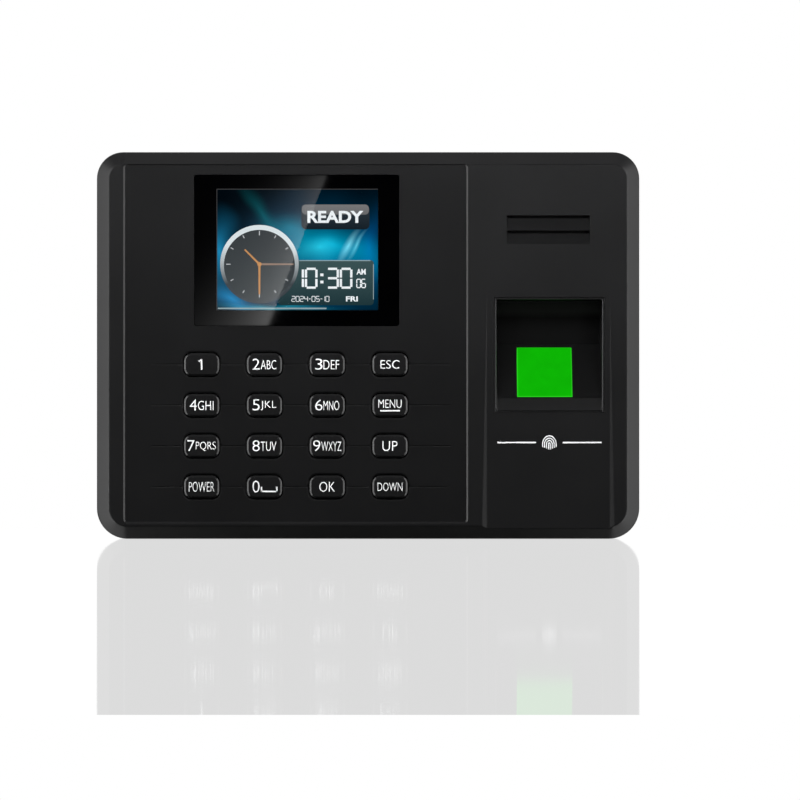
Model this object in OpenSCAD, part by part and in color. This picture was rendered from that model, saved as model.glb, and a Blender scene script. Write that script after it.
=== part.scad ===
// Fingerprint scanner terminal: a reader with a keypad and a colour display,
// which stands on its base or hangs on a steel wall plate.
// X points to the user's right, Y from the user to the wall and Z up.
// The origin is the centre of the wall plate's screw pattern, on the wall plane.
// Depths are distances in front of the wall plane, so a depth d lies at y = -d.

/* [Body] */
// Width over the side walls
body_w = 188; // [188:1:192]
// Height from the base to the top
body_h = 134; // [134:1:136]
// Depth of the front face
face_d = 35; // [35:0.5:37]
// Depth of the joint between the two housings
joint_d = 22; // [22:0.5:22.5]
// Depth of the rear housing's outer face
back_d = 0.5; // [0.5:0.1:0.8]
// Radius of the two top corners
top_corner_r = 9.2; // [8:0.2:11]
// Radius of the two base corners
base_corner_r = 10.6; // [9:0.2:12]
// Width of the front bevel, seen from the front
bevel_w = 4.5; // [3.5:0.1:5]
// How far the front bevel reaches back
bevel_depth = 5; // [4:0.1:6]
// Side wall thickness
wall = 2.5; // [2:0.1:2.8]
// Front wall thickness
front_wall = 3; // [3:0.1:3.2]

/* [Panel] */
// Depth of the sunk panel behind the display and keypad
panel_sink = 0.6; // [0.4:0.1:0.8]
// Left edge of the sunk panel
panel_left = -84; // [-85:0.5:-82]
// Right edge of the sunk panel
panel_right = 34; // [32:0.5:36]
// Lower edge of the sunk panel
panel_low = -61; // [-62:0.5:-60]
// Upper edge of the sunk panel
panel_high = 62.3; // [61:0.1:63]

/* [Display] */
// Width of the display lens
lens_w = 70.9; // [70:0.1:72]
// Height of the display lens
lens_h = 52.2; // [51:0.1:53]
// Thickness of the display lens
lens_t = 1.3; // [1:0.1:1.5]
// Width of the picture area
picture_w = 55.6; // [54:0.1:57.6]
// Height of the picture area
picture_h = 41.7; // [40:0.1:43.2]

/* [Keypad] */
// Key width
key_w = 12.2; // [11:0.1:13]
// Key height
key_h = 8; // [7:0.1:8.4]
// Distance between key columns
key_pitch_x = 21.7; // [21:0.1:22]
// Distance between key rows
key_pitch_z = 14.1; // [14:0.1:14.2]
// How far a key stands out of the panel
key_proud = 0.9; // [0.6:0.1:1]
// Travel of a key
key_travel = 1; // [0.8:0.1:1]

/* [Finger sensor] */
// Centre of the sensor window, left to right
sensor_x = 61.2; // [60:0.1:63]
// Tilt of the sensor window back from the vertical
sensor_tilt = 31; // [30:1:32]
// Width of the sensor window
window_w = 19; // [18:0.5:20]
// Length of the sensor window up its slope
window_l = 20; // [19:0.5:20]
// Depth of the pocket behind the front face
pocket_sink = 13.5; // [13:0.1:14]
// Depth of the finger channel where it meets the base
channel_sink = 1; // [0.9:0.1:1.6]

/* [Speaker] */
// Centre of the speaker, left to right
speaker_x = 62.3; // [61:0.1:64]
// Centre of the speaker, height
speaker_z = 40; // [39:0.1:41]
// Radius of the speaker
speaker_r = 14; // [12:0.5:14]

/* [Wall plate] */
// Distance between the wall screws, left to right
screw_pitch_x = 60; // [50:1:62]
// Distance between the wall screws, up and down
screw_pitch_z = 50; // [40:1:52]
// Radius of the wall screw holes
screw_hole_r = 2.25; // [2:0.05:2.5]
// Thickness of the plate
plate_t = 1.5; // [1.2:0.1:1.5]
// How far the housing lifts to come off the hooks
unhook = 8; // [8:0.5:8.5]

/* [Hidden] */
$fn = 48;

// Colours
BLACK = [0.09, 0.09, 0.095];
DARK = [0.05, 0.05, 0.055];
GLOSS = [0.02, 0.02, 0.025];
SILICONE = [0.25, 0.27, 0.3];
STEEL = [0.72, 0.73, 0.75];
BOARD = [0.05, 0.32, 0.16];
AMBER = [0.8, 0.5, 0.2];
GREEN = [0.1, 0.75, 0.1];
FOAM = [0.2, 0.2, 0.2];
PALE = [0.92, 0.93, 0.9];

// Body
half_w = body_w / 2;
half_h = body_h / 2;
inner_d = face_d - front_wall;
panel_d = face_d - panel_sink;
rear_inner_d = back_d + wall;
RUN = 0.05;
EPS = 0.5;

// Housing screws
housing_screw_x = half_w - 10;
housing_screw_z = half_h - 10;
housing_boss_r = 3.5;
rear_tube_r = 4;
housing_screw_r = 1.25;
housing_screw_l = 10;
screw_ledge_d = 19;

// Display
lens_x = (-60.1 + 10.8) / 2;
lens_z = 32.8;
picture_x = -24.4;
picture_z = 33.1;
lens_fit = 0.1;
tape_t = 0.2;
tape_w = 2.6;
lens_back_d = panel_d - lens_t;
ledge_d = lens_back_d - tape_t;
module_w = 69.2;
module_h = 50;
gasket_t = 0.3;
module_face_d = inner_d - gasket_t;
frame_t = 0.4;
panel_t = 1.6;
backlight_t = 1.2;
module_back_d = module_face_d - panel_t - backlight_t - frame_t;
module_rim = 0.6;
flex_left = -36;
flex_right = -14;
flex_t = 0.3;
flex_fold = 4;
flex_rise = 5;
flex_end_z = picture_z - module_h / 2 + module_rim - flex_fold + flex_rise;

// Keypad
key_x0 = -57.5;
key_z0 = -6.6;
key_r = 2.6;
key_gap = 0.3;
key_hole_rim = 0.5;
key_hole_sink = 0.4;
flange_rim = 0.9;
flange_t = 1;
key_top_d = panel_d + key_proud;
flange_top_d = inner_d - key_gap;
flange_back_d = flange_top_d - flange_t;
pill_r = 2.5;
keypad_board_t = 1.6;
mat_t = 0.8;
contact_gap = 0.2;
pill_back_d = flange_back_d - 2.2;
keypad_face_d = pill_back_d - key_travel - contact_gap;
keypad_back_d = keypad_face_d - keypad_board_t;
mat_top_d = keypad_face_d + mat_t;
mat_hole_r = 4.4;
groove_w = 0.4;
groove_sink = 0.25;
groove_left = -75;
groove_right = 28.5;
keypad_screw_at = [for (c = [0.5, 2.5], r = [0.5, 2.5]) [key_at(c, r).x, key_at(c, r).y]];
keypad_boss_r = 2.3;
keypad_screw_r = 0.95;
keypad_low = -57;
keypad_high = 2.5;
keypad_left = -66;
keypad_right = 16;

// Main board
board_face_d = joint_d;
board_t = 1.6;
board_back_d = board_face_d - board_t;
board_left = -79;
board_right = 36;
board_low = -44.5;
board_high = 62;
board_screw_at = [for (x = [-74, 32], z = [-40, 57]) [x, z]];
board_boss_r = 3;
board_screw_r = 1.15;

// Reset switch and coin cell, on the back of the main board
reset_x = -62;
reset_z = -26;
reset_r = 1.5;
reset_h = 3.5;
reset_hole_r = 1.25;
coin_x = 12;
coin_z = 16;
coin_r = 10;
coin_t = 3.2;
coin_base_t = 1;
coin_holder_half = 11.5;
coin_holder_t = 4.4;

// Rear recess for the cables, open to the base and to the wall
recess_left = -38;
recess_right = 18;
recess_top = -47;
recess_d = board_back_d + 0.1;
recess_wall = 1.3;
jack_low = recess_top + 0.2;

// Sockets
network_x = -22;
network_w = 16;
network_h = 13.5;
network_l = 18;
power_x = 6.5;
power_w = 9;
power_h = 11;
power_l = 14;
power_bore_r = 2.9;
power_pin_r = 1.05;
usb_x = 28.5;
usb_w = 13.1;
usb_h = 6.8;
usb_l = 14;
usb_low = -half_h + 0.4;

// Finger sensor
channel_left = 41.1;
channel_right = 83.6;
channel_top = 19.8;
channel_rim = 1.7;
channel_angle = atan(channel_sink / (channel_top + half_h));
pocket_left = 44.4;
pocket_right = 80.9;
pocket_top = 15.7;
pocket_low = -23.4;
tub_side = 0.8;
tub_wall = 1.5;
tub_fit = 0.1;
pocket_back_d = face_d - pocket_sink;
window_z = -9.15;
window_d = 27.35;
flange_face_d = inner_d - 1.5;
bezel_flange_t = 1.5;
bezel_back_d = flange_face_d - bezel_flange_t;
bezel_flange = [[42.2, -31.5], [83.2, 23.5]];
sensor_screw_at = [for (x = [47, 78], z = [-28.5, 20.5]) [x, z]];
sensor_boss_r = 2.2;
sensor_screw_r = 0.95;
chamber_left = 47;
chamber_right = 76;
chamber_low = -26;
chamber_high = 8;
chamber_back_d = 9;
chamber_wall = 1.2;
camera_z = -14;

// Wall plate and its recess
plate_half_w = 48;
plate_low = -43;
plate_high = 41;
plate_fit = 0.6;
plate_floor_d = 4.2;
plate_wall = 2.2;
hook_x = 38;
hook_w = 8;
hook_zs = [28.5, -31.5];
hook_rise = 5.5;
lip_d = plate_floor_d + plate_wall + 0.4;
tab_x = 43.5;
tab_w = 7;
tab_z = -65.2;
tab_reach_d = 11;
tab_pocket_top = tab_z + plate_t + 0.3;
lock_d = 7;
lock_r = 1.5;
lock_l = 8;
lock_head_r = 2.6;
lock_head_t = 1.5;

// Where a sub-part sits on the keypad grid
function key_at(col, row) = [key_x0 + col * key_pitch_x, key_z0 - row * key_pitch_z];

// How far the finger channel's floor lies behind the front face at a height
function channel_at(z) = channel_sink * (channel_top - z) / (channel_top + half_h);

// A point of the side view, from the sensor window's centre: in is the distance
// into the terminal and up the distance up the slope
function on_slope(in, up) = [
    -window_d + in * cos(sensor_tilt) + up * sin(sensor_tilt),
    window_z - in * sin(sensor_tilt) + up * cos(sensor_tilt)
];

// Where the sensor window's plane, moved in by some distance, meets a depth
function slope_z(in, depth) =
    on_slope(in, 0).y + (-depth - on_slope(in, 0).x) / tan(sensor_tilt);

// Extrudes a front view outline of x and z between two depths
module layer(front_d, rear_d) {
    translate([0, -rear_d, 0])
        rotate([90, 0, 0])
            linear_extrude(front_d - rear_d)
                children();
}

// Extrudes a side view outline of y and z from x0 to x1
module section(x0, x1) {
    translate([x0, 0, 0])
        rotate([90, 0, 90])
            linear_extrude(x1 - x0)
                children();
}

// A block between two depths over a front view rectangle
module slab(x0, x1, z0, z1, front_d, rear_d) {
    translate([x0, -front_d, z0])
        cube([x1 - x0, front_d - rear_d, z1 - z0]);
}

// A round bar along Y between two depths
module rod(at, r, front_d, rear_d) {
    translate([at.x, -rear_d, at.y])
        rotate([90, 0, 0])
            cylinder(h = front_d - rear_d, r = r);
}

// A round bar along Z
module post(x, depth, z0, z1, r) {
    translate([x, -depth, z0])
        cylinder(h = z1 - z0, r = r);
}

// A rectangle with round corners
module rounded(centre, size, r) {
    translate(centre) {
        square([size.x - 2 * r, size.y], center = true);
        square([size.x, size.y - 2 * r], center = true);
        for (i = [-1, 1], j = [-1, 1])
            translate([i * (size.x / 2 - r), j * (size.y / 2 - r)])
                circle(r);
    }
}

// A rectangular frame outline of one width
module ring(centre, size, width, r) {
    difference() {
        rounded(centre, size, r);
        translate(centre)
            square([size.x - 2 * width, size.y - 2 * width], center = true);
    }
}

// A block with round corners whose sides slope in by front_in and rear_in
module tapered(x0, x1, z0, z1, low_r, high_r, front_d, rear_d, front_in, rear_in) {
    depth = front_d - rear_d;
    translate([0, 0, z0 + low_r])
        linear_extrude(z1 - z0 - low_r - high_r)
            polygon([
                [x0 + front_in, -front_d], [x1 - front_in, -front_d],
                [x1 - rear_in, -rear_d], [x0 + rear_in, -rear_d]
            ]);
    middle = (z0 + z1) / 2;
    for (side = [[z0, low_r, 1], [z1, high_r, -1]])
        section(x0 + side[1], x1 - side[1])
            polygon([
                [-front_d, middle], [-front_d, side[0] + side[2] * front_in],
                [-rear_d, side[0] + side[2] * rear_in], [-rear_d, middle]
            ]);
    for (side = [[z0, low_r, 1], [z1, high_r, -1]], x = [x0 + side[1], x1 - side[1]])
        translate([x, -rear_d, side[0] + side[2] * side[1]])
            rotate([90, 0, 0])
                cylinder(h = depth, r1 = side[1] - rear_in, r2 = side[1] - front_in);
}

// The body's outline between two depths, moved in by front_in and rear_in
module body_slice(front_d, rear_d, front_in, rear_in) {
    tapered(-half_w, half_w, -half_h, half_h, base_corner_r, top_corner_r,
        front_d, rear_d, front_in, rear_in);
}

// A flat strip of one thickness that follows points of x and y, or y and z
module strip(points, t) {
    for (i = [0 : len(points) - 2]) {
        low = [min(points[i].x, points[i + 1].x), min(points[i].y, points[i + 1].y)];
        high = [max(points[i].x, points[i + 1].x), max(points[i].y, points[i + 1].y)];
        translate(low)
            square(high - low + [t, t]);
    }
}

// A screw along Y: a flat round head and its shank, driven towards the user
module screw(at, seat_d, r, length, head_r, head_t) {
    rod(at, head_r, seat_d, seat_d - head_t);
    rod(at, r, seat_d + length, seat_d);
}

// A board along the front view with round holes
module board(x0, x1, z0, z1, front_d, rear_d, holes, hole_r) {
    difference() {
        slab(x0, x1, z0, z1, front_d, rear_d);
        for (at = holes)
            rod(at, hole_r, front_d + EPS, rear_d - EPS);
    }
}

// The four places of the housing screws
function housing_screw_at() =
    [for (i = [-1, 1], j = [-1, 1]) [i * housing_screw_x, j * housing_screw_z]];

// Space inside the front housing
module front_space() {
    body_slice(inner_d, face_d - bevel_depth, bevel_w + 0.3, bevel_w + 0.3);
    body_slice(face_d - bevel_depth, joint_d - EPS, wall, wall);
}

// The sunk panel with its sloped rims
module panel_sinking() {
    tapered(panel_left - panel_sink, panel_right + panel_sink,
        panel_low - panel_sink, panel_high + panel_sink,
        1.6, 1.6, face_d, panel_d, 0, panel_sink);
    slab(panel_left - panel_sink, panel_right + panel_sink,
        panel_low - panel_sink, panel_high + panel_sink, face_d + EPS, face_d);
}

// The pocket for the lens and the window behind it
module display_opening() {
    layer(face_d + EPS, ledge_d)
        rounded([lens_x, lens_z], [lens_w + 2 * lens_fit, lens_h + 2 * lens_fit], 0.9);
    layer(ledge_d + EPS, inner_d - EPS)
        rounded([picture_x, picture_z], [picture_w + 2.4, picture_h + 2.4], 1);
}

// The key holes and the fine grooves that run through each row
module keypad_openings() {
    for (row = [0 : 3]) {
        z = key_at(0, row).y;
        slab(groove_left, groove_right, z - groove_w / 2, z + groove_w / 2,
            face_d + EPS, panel_d - groove_sink);
        for (col = [0 : 3])
            key_hole(key_at(col, row));
    }
}

// One key hole, its front edge chamfered
module key_hole(at) {
    half = [key_w / 2 + key_gap + key_hole_rim, key_h / 2 + key_gap + key_hole_rim];
    layer(face_d + EPS, inner_d - EPS)
        rounded(at, [key_w + 2 * key_gap, key_h + 2 * key_gap], key_r + key_gap);
    tapered(at.x - half.x, at.x + half.x, at.y - half.y, at.y + half.y,
        key_r + key_gap + key_hole_rim, key_r + key_gap + key_hole_rim,
        panel_d, panel_d - key_hole_sink, 0, key_hole_rim);
}

// Two louvre steps, each with a sound slit under its upper lip
module speaker_louvre() {
    louvre_left = 48;
    louvre_right = 76.7;
    louvre_sink = 1.5;
    slit_h = 1;
    for (step = [[44.9, 39.9], [39.7, 35]]) {
        section(louvre_left, louvre_right)
            polygon([
                [-face_d - EPS, step[0]], [-face_d + louvre_sink, step[0]],
                [-face_d, step[1]], [-face_d - EPS, step[1]]
            ]);
        slab(louvre_left + 0.5, louvre_right - 0.5, step[0] - slit_h, step[0],
            face_d, inner_d - EPS);
    }
}

// The shallow channel that leads the finger up to the pocket
module finger_channel() {
    length = channel_top + half_h + 4;
    sink = channel_sink;
    reach = 2;
    slope = channel_rim / channel_sink;
    translate([0, -face_d, channel_top])
        rotate([channel_angle, 0, 0])
            translate([0, 0, -length])
                linear_extrude(length)
                    polygon([
                        [channel_left, 0], [channel_right, 0],
                        [channel_right + slope * reach, -reach],
                        [channel_left - slope * reach, -reach]
                    ]);
}

// The opening that the sensor bezel fills
module sensor_opening() {
    slab(pocket_left - tub_side, pocket_right + tub_side,
        pocket_low, pocket_top + tub_side, face_d + EPS, inner_d - EPS);
}

module front_housing() {
    color(BLACK)
        difference() {
            union() {
                difference() {
                    union() {
                        body_slice(face_d, face_d - bevel_depth, bevel_w, 0);
                        body_slice(face_d - bevel_depth, joint_d, 0, 0);
                    }
                    front_space();
                }
                for (at = housing_screw_at())
                    rod(at, housing_boss_r, inner_d + EPS, joint_d);
                for (at = board_screw_at)
                    rod(at, board_boss_r, inner_d + EPS, board_face_d);
                for (at = keypad_screw_at)
                    rod(at, keypad_boss_r, inner_d + EPS, keypad_face_d);
                for (at = sensor_screw_at)
                    rod(at, sensor_boss_r, inner_d + EPS, flange_face_d);
            }
            panel_sinking();
            display_opening();
            keypad_openings();
            speaker_louvre();
            finger_channel();
            sensor_opening();
            for (at = housing_screw_at())
                rod(at, housing_screw_r + RUN, inner_d - 1, joint_d - EPS);
            for (at = board_screw_at)
                rod(at, board_screw_r + RUN, inner_d - 1, board_face_d - EPS);
            for (at = keypad_screw_at)
                rod(at, keypad_screw_r + RUN, inner_d, keypad_face_d - EPS);
            for (at = sensor_screw_at)
                rod(at, sensor_screw_r + RUN, inner_d + 1, flange_face_d - EPS);
        }
}

// The back wall's sunk bed for the wall plate, with the hook slots
module plate_bed() {
    slab(-plate_half_w - plate_fit, plate_half_w + plate_fit,
        plate_low - unhook - plate_fit, plate_high + plate_fit, plate_floor_d, 0);
    slab(tab_x - tab_w / 2 - plate_fit, tab_x + tab_w / 2 + plate_fit,
        -half_h - EPS, plate_low, plate_floor_d, 0);
    for (x = [-hook_x, hook_x], z = hook_zs)
        slab(x - hook_w / 2 - 0.4, x + hook_w / 2 + 0.4, z - unhook - 0.3,
            z + plate_t + 0.3, plate_floor_d + plate_wall + EPS, 0);
    slab(tab_x - tab_w / 2 - plate_fit, tab_x + tab_w / 2 + plate_fit,
        -half_h - EPS, tab_pocket_top, tab_reach_d + plate_fit, 0);
    post(tab_x, lock_d, tab_pocket_top - EPS, tab_z + plate_t + lock_l + 0.6, lock_r + RUN);
}

// The walls inside the rear housing around the cable recess, the bed and the tab
module rear_ribs() {
    slab(-plate_half_w - 3, plate_half_w + 3, plate_low - unhook - 3, plate_high + 3,
        plate_floor_d + plate_wall, rear_inner_d - EPS);
    slab(recess_left - recess_wall, recess_right + recess_wall,
        -half_h + wall - EPS, recess_top + recess_wall,
        recess_d + recess_wall, rear_inner_d - EPS);
    slab(tab_x - tab_w / 2 - 2, tab_x + tab_w / 2 + 2,
        -half_h + wall - EPS, tab_pocket_top + lock_l + 1,
        tab_reach_d + 2, rear_inner_d - EPS);
    for (at = housing_screw_at())
        rod(at, rear_tube_r, joint_d, rear_inner_d - EPS);
}

// The sockets' openings in the top of the cable recess and in the base
module rear_socket_openings() {
    gap = 0.3;
    for (jack = [[network_x, network_w, network_h], [power_x, power_w, power_h]])
        slab(jack[0] - jack[1] / 2 - gap, jack[0] + jack[1] / 2 + gap,
            recess_top - EPS, recess_top + recess_wall + EPS,
            board_back_d + recess_wall + EPS, board_back_d - jack[2] - gap);
    slab(usb_x - usb_w / 2 - gap, usb_x + usb_w / 2 + gap,
        -half_h - EPS, -half_h + wall + EPS,
        board_back_d + gap, board_back_d - usb_h - gap);
}

module rear_housing() {
    rear_bevel = 2;
    color(BLACK)
        difference() {
            union() {
                difference() {
                    union() {
                        body_slice(joint_d, back_d + rear_bevel, 0, 0);
                        body_slice(back_d + rear_bevel, back_d, 0, rear_bevel);
                    }
                    body_slice(joint_d + EPS, rear_inner_d, wall, wall);
                }
                rear_ribs();
            }
            slab(recess_left, recess_right, -half_h - EPS, recess_top, recess_d, 0);
            plate_bed();
            rear_socket_openings();
            for (at = housing_screw_at()) {
                rod(at, housing_screw_r + 0.35, joint_d + EPS, 0);
                rod(at, 3.1, screw_ledge_d, 0);
            }
            rod([reset_x, reset_z], reset_hole_r, rear_inner_d + EPS, 0);
        }
}

module housing_screws() {
    color(STEEL)
        for (at = housing_screw_at())
            screw(at, screw_ledge_d, housing_screw_r, housing_screw_l, 2.75, 2);
}

module display_lens() {
    color(GLOSS)
        layer(panel_d, lens_back_d)
            rounded([lens_x, lens_z], [lens_w, lens_h], 0.8);
}

module lens_tape() {
    color(DARK)
        layer(lens_back_d, ledge_d)
            ring([lens_x, lens_z], [lens_w - 0.6, lens_h - 0.6], tape_w, 0.5);
}

module display_gasket() {
    color(FOAM)
        layer(inner_d, module_face_d)
            ring([picture_x, picture_z], [module_w - 2, module_h - 2], 1.8, 0.5);
}

// A block over the display module inside its frame
module module_layer(front_d, rear_d) {
    slab(picture_x - module_w / 2 + module_rim, picture_x + module_w / 2 - module_rim,
        picture_z - module_h / 2 + module_rim, picture_z + module_h / 2 - module_rim,
        front_d, rear_d);
}

module display_panel() {
    color(DARK)
        module_layer(module_face_d, module_face_d - panel_t);
}

module display_backlight() {
    color(PALE)
        module_layer(module_face_d - panel_t, module_face_d - panel_t - backlight_t);
}

module display_frame() {
    color(STEEL)
        difference() {
            slab(picture_x - module_w / 2, picture_x + module_w / 2,
                picture_z - module_h / 2, picture_z + module_h / 2,
                module_face_d, module_back_d);
            module_layer(module_face_d + EPS, module_back_d + frame_t);
            slab(flex_left - 0.5, flex_right + 0.5,
                picture_z - module_h / 2 - EPS, picture_z - module_h / 2 + EPS + 0.2,
                module_face_d - panel_t + 0.4, module_back_d + frame_t);
        }
}

// The flat cable from the display's lower edge to the main board
module display_flex() {
    top = picture_z - module_h / 2 + module_rim;
    fold = top - flex_fold;
    start = -(module_face_d - panel_t - 0.3);
    finish = -(board_face_d + 1.2);
    color(AMBER)
        section(flex_left, flex_right)
            strip([
                [start, top - flex_t], [start, fold], [finish, fold], [finish, flex_end_z]
            ], flex_t);
}

// One key: the cap, its retaining flange and the contact pill under it
module key(col, row) {
    at = key_at(col, row);
    color(BLACK) {
        layer(key_top_d, flange_top_d)
            rounded(at, [key_w, key_h], key_r);
        layer(flange_top_d, flange_back_d)
            rounded(at, [key_w + 2 * flange_rim, key_h + 2 * flange_rim], key_r);
        rod(at, pill_r, flange_back_d, pill_back_d);
    }
}

// The silicone sheet with a flexing web round each key's pill
module keypad_mat() {
    web_t = 0.4;
    web_rise = 1.4;
    web_in = pill_r + RUN;
    edge = mat_hole_r;
    color(SILICONE)
        difference() {
            union() {
                slab(keypad_left + 1, keypad_right - 1, keypad_low + 1, keypad_high - 2,
                    mat_top_d, keypad_face_d);
                for (row = [0 : 3], col = [0 : 3])
                    translate([key_at(col, row).x, -mat_top_d, key_at(col, row).y])
                        rotate([90, 0, 0])
                            cylinder(h = web_rise, r1 = edge + 0.6, r2 = web_in + web_t);
            }
            for (row = [0 : 3], col = [0 : 3])
                translate([key_at(col, row).x, -keypad_face_d, key_at(col, row).y])
                    rotate([90, 0, 0])
                        rotate_extrude()
                            polygon([
                                [0, -EPS], [edge, -EPS], [edge, mat_t - 0.2],
                                [web_in, mat_t + web_rise - 0.6],
                                [web_in, mat_t + web_rise + EPS], [0, mat_t + web_rise + EPS]
                            ]);
            for (at = keypad_screw_at)
                rod(at, keypad_boss_r + 0.3, mat_top_d + EPS, keypad_face_d - EPS);
        }
}

module keypad_board() {
    color(BOARD)
        board(keypad_left, keypad_right, keypad_low, keypad_high,
            keypad_face_d, keypad_back_d, keypad_screw_at, keypad_screw_r + 0.25);
}

module keypad_screws() {
    color(STEEL)
        for (at = keypad_screw_at)
            screw(at, keypad_back_d, keypad_screw_r, 4.5, 1.9, 1);
}

// The pin strip that joins the keypad board to the main board
module keypad_header() {
    color(DARK)
        slab(-30, -10, -38, -35.4, keypad_back_d, board_face_d);
}

module main_board() {
    tongue_left = recess_right + recess_wall + 0.5;
    color(BOARD) {
        difference() {
            union() {
                slab(board_left, board_right, board_low, board_high,
                    board_face_d, board_back_d);
                slab(tongue_left, board_right, -half_h + wall + 1, board_low,
                    board_face_d, board_back_d);
            }
            for (at = board_screw_at)
                rod(at, board_screw_r + 0.25, board_face_d + EPS, board_back_d - EPS);
        }
    }
}

// The larger chips and the network transformer on the back of the main board
module board_chips() {
    chips = [
        [-62, 20, 15, 15, 1.6], [-62, 0, 11, 13, 1.2], [-42, 36, 9, 9, 1.4],
        [-20, -18, 13, 10, 4.5], [14, 44, 8, 6, 1.5], [20, -8, 10, 8, 2]
    ];
    color(DARK)
        for (c = chips)
            slab(c[0] - c[2] / 2, c[0] + c[2] / 2, c[1] - c[3] / 2, c[1] + c[3] / 2,
                board_back_d, board_back_d - c[4]);
}

// The display, speaker, sensor and battery connectors on the main board
module board_connectors() {
    color(PALE) {
        slab(flex_left - 1, flex_right + 1, flex_end_z + flex_t, flex_end_z + flex_t + 3.4,
            board_face_d + 2, board_face_d);
        slab(30, 35.5, 30, 36, board_back_d, board_back_d - 4);
        slab(30, 34.5, -26, -6, board_back_d, board_back_d - 2);
        slab(-8, -2, 40, 46, board_back_d, board_back_d - 4.5);
    }
}

module board_screws() {
    color(STEEL)
        for (at = board_screw_at)
            screw(at, board_back_d, board_screw_r, 8, 2.6, 1.8);
}

// The eight-way network socket, its mouth down
module network_jack() {
    mouth_w = 11.8;
    mouth_h = 8;
    color(STEEL)
        difference() {
            slab(network_x - network_w / 2, network_x + network_w / 2,
                jack_low, jack_low + network_l,
                board_back_d, board_back_d - network_h);
            slab(network_x - mouth_w / 2, network_x + mouth_w / 2,
                jack_low - EPS, jack_low + 13,
                board_back_d - 2, board_back_d - 2 - mouth_h);
            slab(network_x - 3, network_x + 3, jack_low - EPS, jack_low + 10,
                board_back_d - 2 - mouth_h + EPS, board_back_d - network_h + 1.2);
        }
}

// The barrel power socket, its mouth down
module power_jack() {
    bore_d = board_back_d - 5.5;
    color(DARK) {
        difference() {
            slab(power_x - power_w / 2, power_x + power_w / 2,
                jack_low, jack_low + power_l, board_back_d, board_back_d - power_h);
            post(power_x, bore_d, jack_low - EPS, jack_low + 10, power_bore_r);
        }
        post(power_x, bore_d, jack_low + 1, jack_low + 10 + EPS, power_pin_r);
    }
}

// The host port for a memory stick, its mouth down in the base
module usb_port() {
    shell_t = 0.4;
    tongue_h = 1.8;
    left = usb_x - usb_w / 2;
    right = usb_x + usb_w / 2;
    color(STEEL) {
        difference() {
            slab(left, right, usb_low, usb_low + usb_l,
                board_back_d, board_back_d - usb_h);
            slab(left + shell_t, right - shell_t, usb_low - EPS, usb_low + usb_l - 2,
                board_back_d - 1, board_back_d - usb_h + shell_t);
        }
        slab(left + 1, right - 1, usb_low + 2, usb_low + usb_l - 1,
            board_back_d - 1.6, board_back_d - 1.6 - tongue_h);
    }
}

// The reset switch on the main board, behind a pinhole in the rear housing
module reset_switch() {
    color(DARK)
        difference() {
            slab(reset_x - 3, reset_x + 3, reset_z - 3, reset_z + 3,
                board_back_d, board_back_d - reset_h);
            rod([reset_x, reset_z], reset_r + RUN,
                board_back_d - reset_h + 1.2, board_back_d - reset_h - EPS);
        }
}

module reset_button() {
    color(PALE)
        rod([reset_x, reset_z], reset_r,
            board_back_d - reset_h + 0.6, board_back_d - reset_h - 1.2);
}

// The holder of the clock's coin cell
module coin_cell_holder() {
    color(DARK)
        difference() {
            slab(coin_x - coin_holder_half, coin_x + coin_holder_half,
                coin_z - coin_holder_half, coin_z + coin_holder_half,
                board_back_d, board_back_d - coin_holder_t);
            rod([coin_x, coin_z], coin_r + 0.2,
                board_back_d - coin_base_t, board_back_d - coin_holder_t - EPS);
        }
}

module coin_cell() {
    color(STEEL)
        rod([coin_x, coin_z], coin_r,
            board_back_d - coin_base_t, board_back_d - coin_base_t - coin_t);
}

// The battery that keeps the terminal running through a power cut
module backup_battery() {
    front = plate_floor_d + plate_wall + 6;
    color([0.75, 0.78, 0.8])
        slab(-32, 4, 4, 38, front, plate_floor_d + plate_wall);
}

module speaker() {
    at = [speaker_x, speaker_z];
    color(DARK) {
        rod(at, speaker_r, inner_d - 0.5, inner_d - 4.5);
        rod(at, speaker_r * 0.6, inner_d - 4.5, inner_d - 8);
    }
}

module speaker_gasket() {
    at = [speaker_x, speaker_z];
    color(FOAM)
        difference() {
            rod(at, speaker_r, inner_d, inner_d - 0.5);
            rod(at, speaker_r - 1, inner_d + EPS, inner_d - 1);
        }
}

// The two wires from the speaker to the main board
module speaker_leads() {
    wire_t = 1;
    turn_x = 40;
    speaker_y = -(inner_d - 4.5) + 0.1;
    board_y = -board_back_d + 1.5;
    color([0.7, 0.1, 0.1])
        for (z = [32, 34.2])
            translate([0, 0, z])
                linear_extrude(wire_t)
                    strip([
                        [51, speaker_y], [turn_x, speaker_y],
                        [turn_x, board_y], [35.5, board_y]
                    ], wire_t);
}

// Side view of the pocket's air space, from the front face to the sensor window
function pocket_side() = [
    [-face_d - EPS, pocket_top], [-pocket_back_d, pocket_top],
    [-pocket_back_d, slope_z(0, pocket_back_d)],
    on_slope(0, -window_l / 2 - 0.7),
    [-face_d + channel_at(pocket_low) + 0.05, pocket_low + 0.8],
    [-face_d - EPS, pocket_low + 0.8]
];

// Side view of the tub's outer form
function tub_side_view() = [
    [-face_d + channel_at(pocket_top), pocket_top + tub_side - tub_fit],
    [-pocket_back_d + tub_wall, pocket_top + tub_side - tub_fit],
    [-pocket_back_d + tub_wall, slope_z(tub_wall, pocket_back_d - tub_wall)],
    [-bezel_back_d, slope_z(tub_wall, bezel_back_d)],
    [-bezel_back_d, pocket_low + tub_fit],
    [-face_d + channel_at(pocket_low), pocket_low + tub_fit]
];

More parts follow.
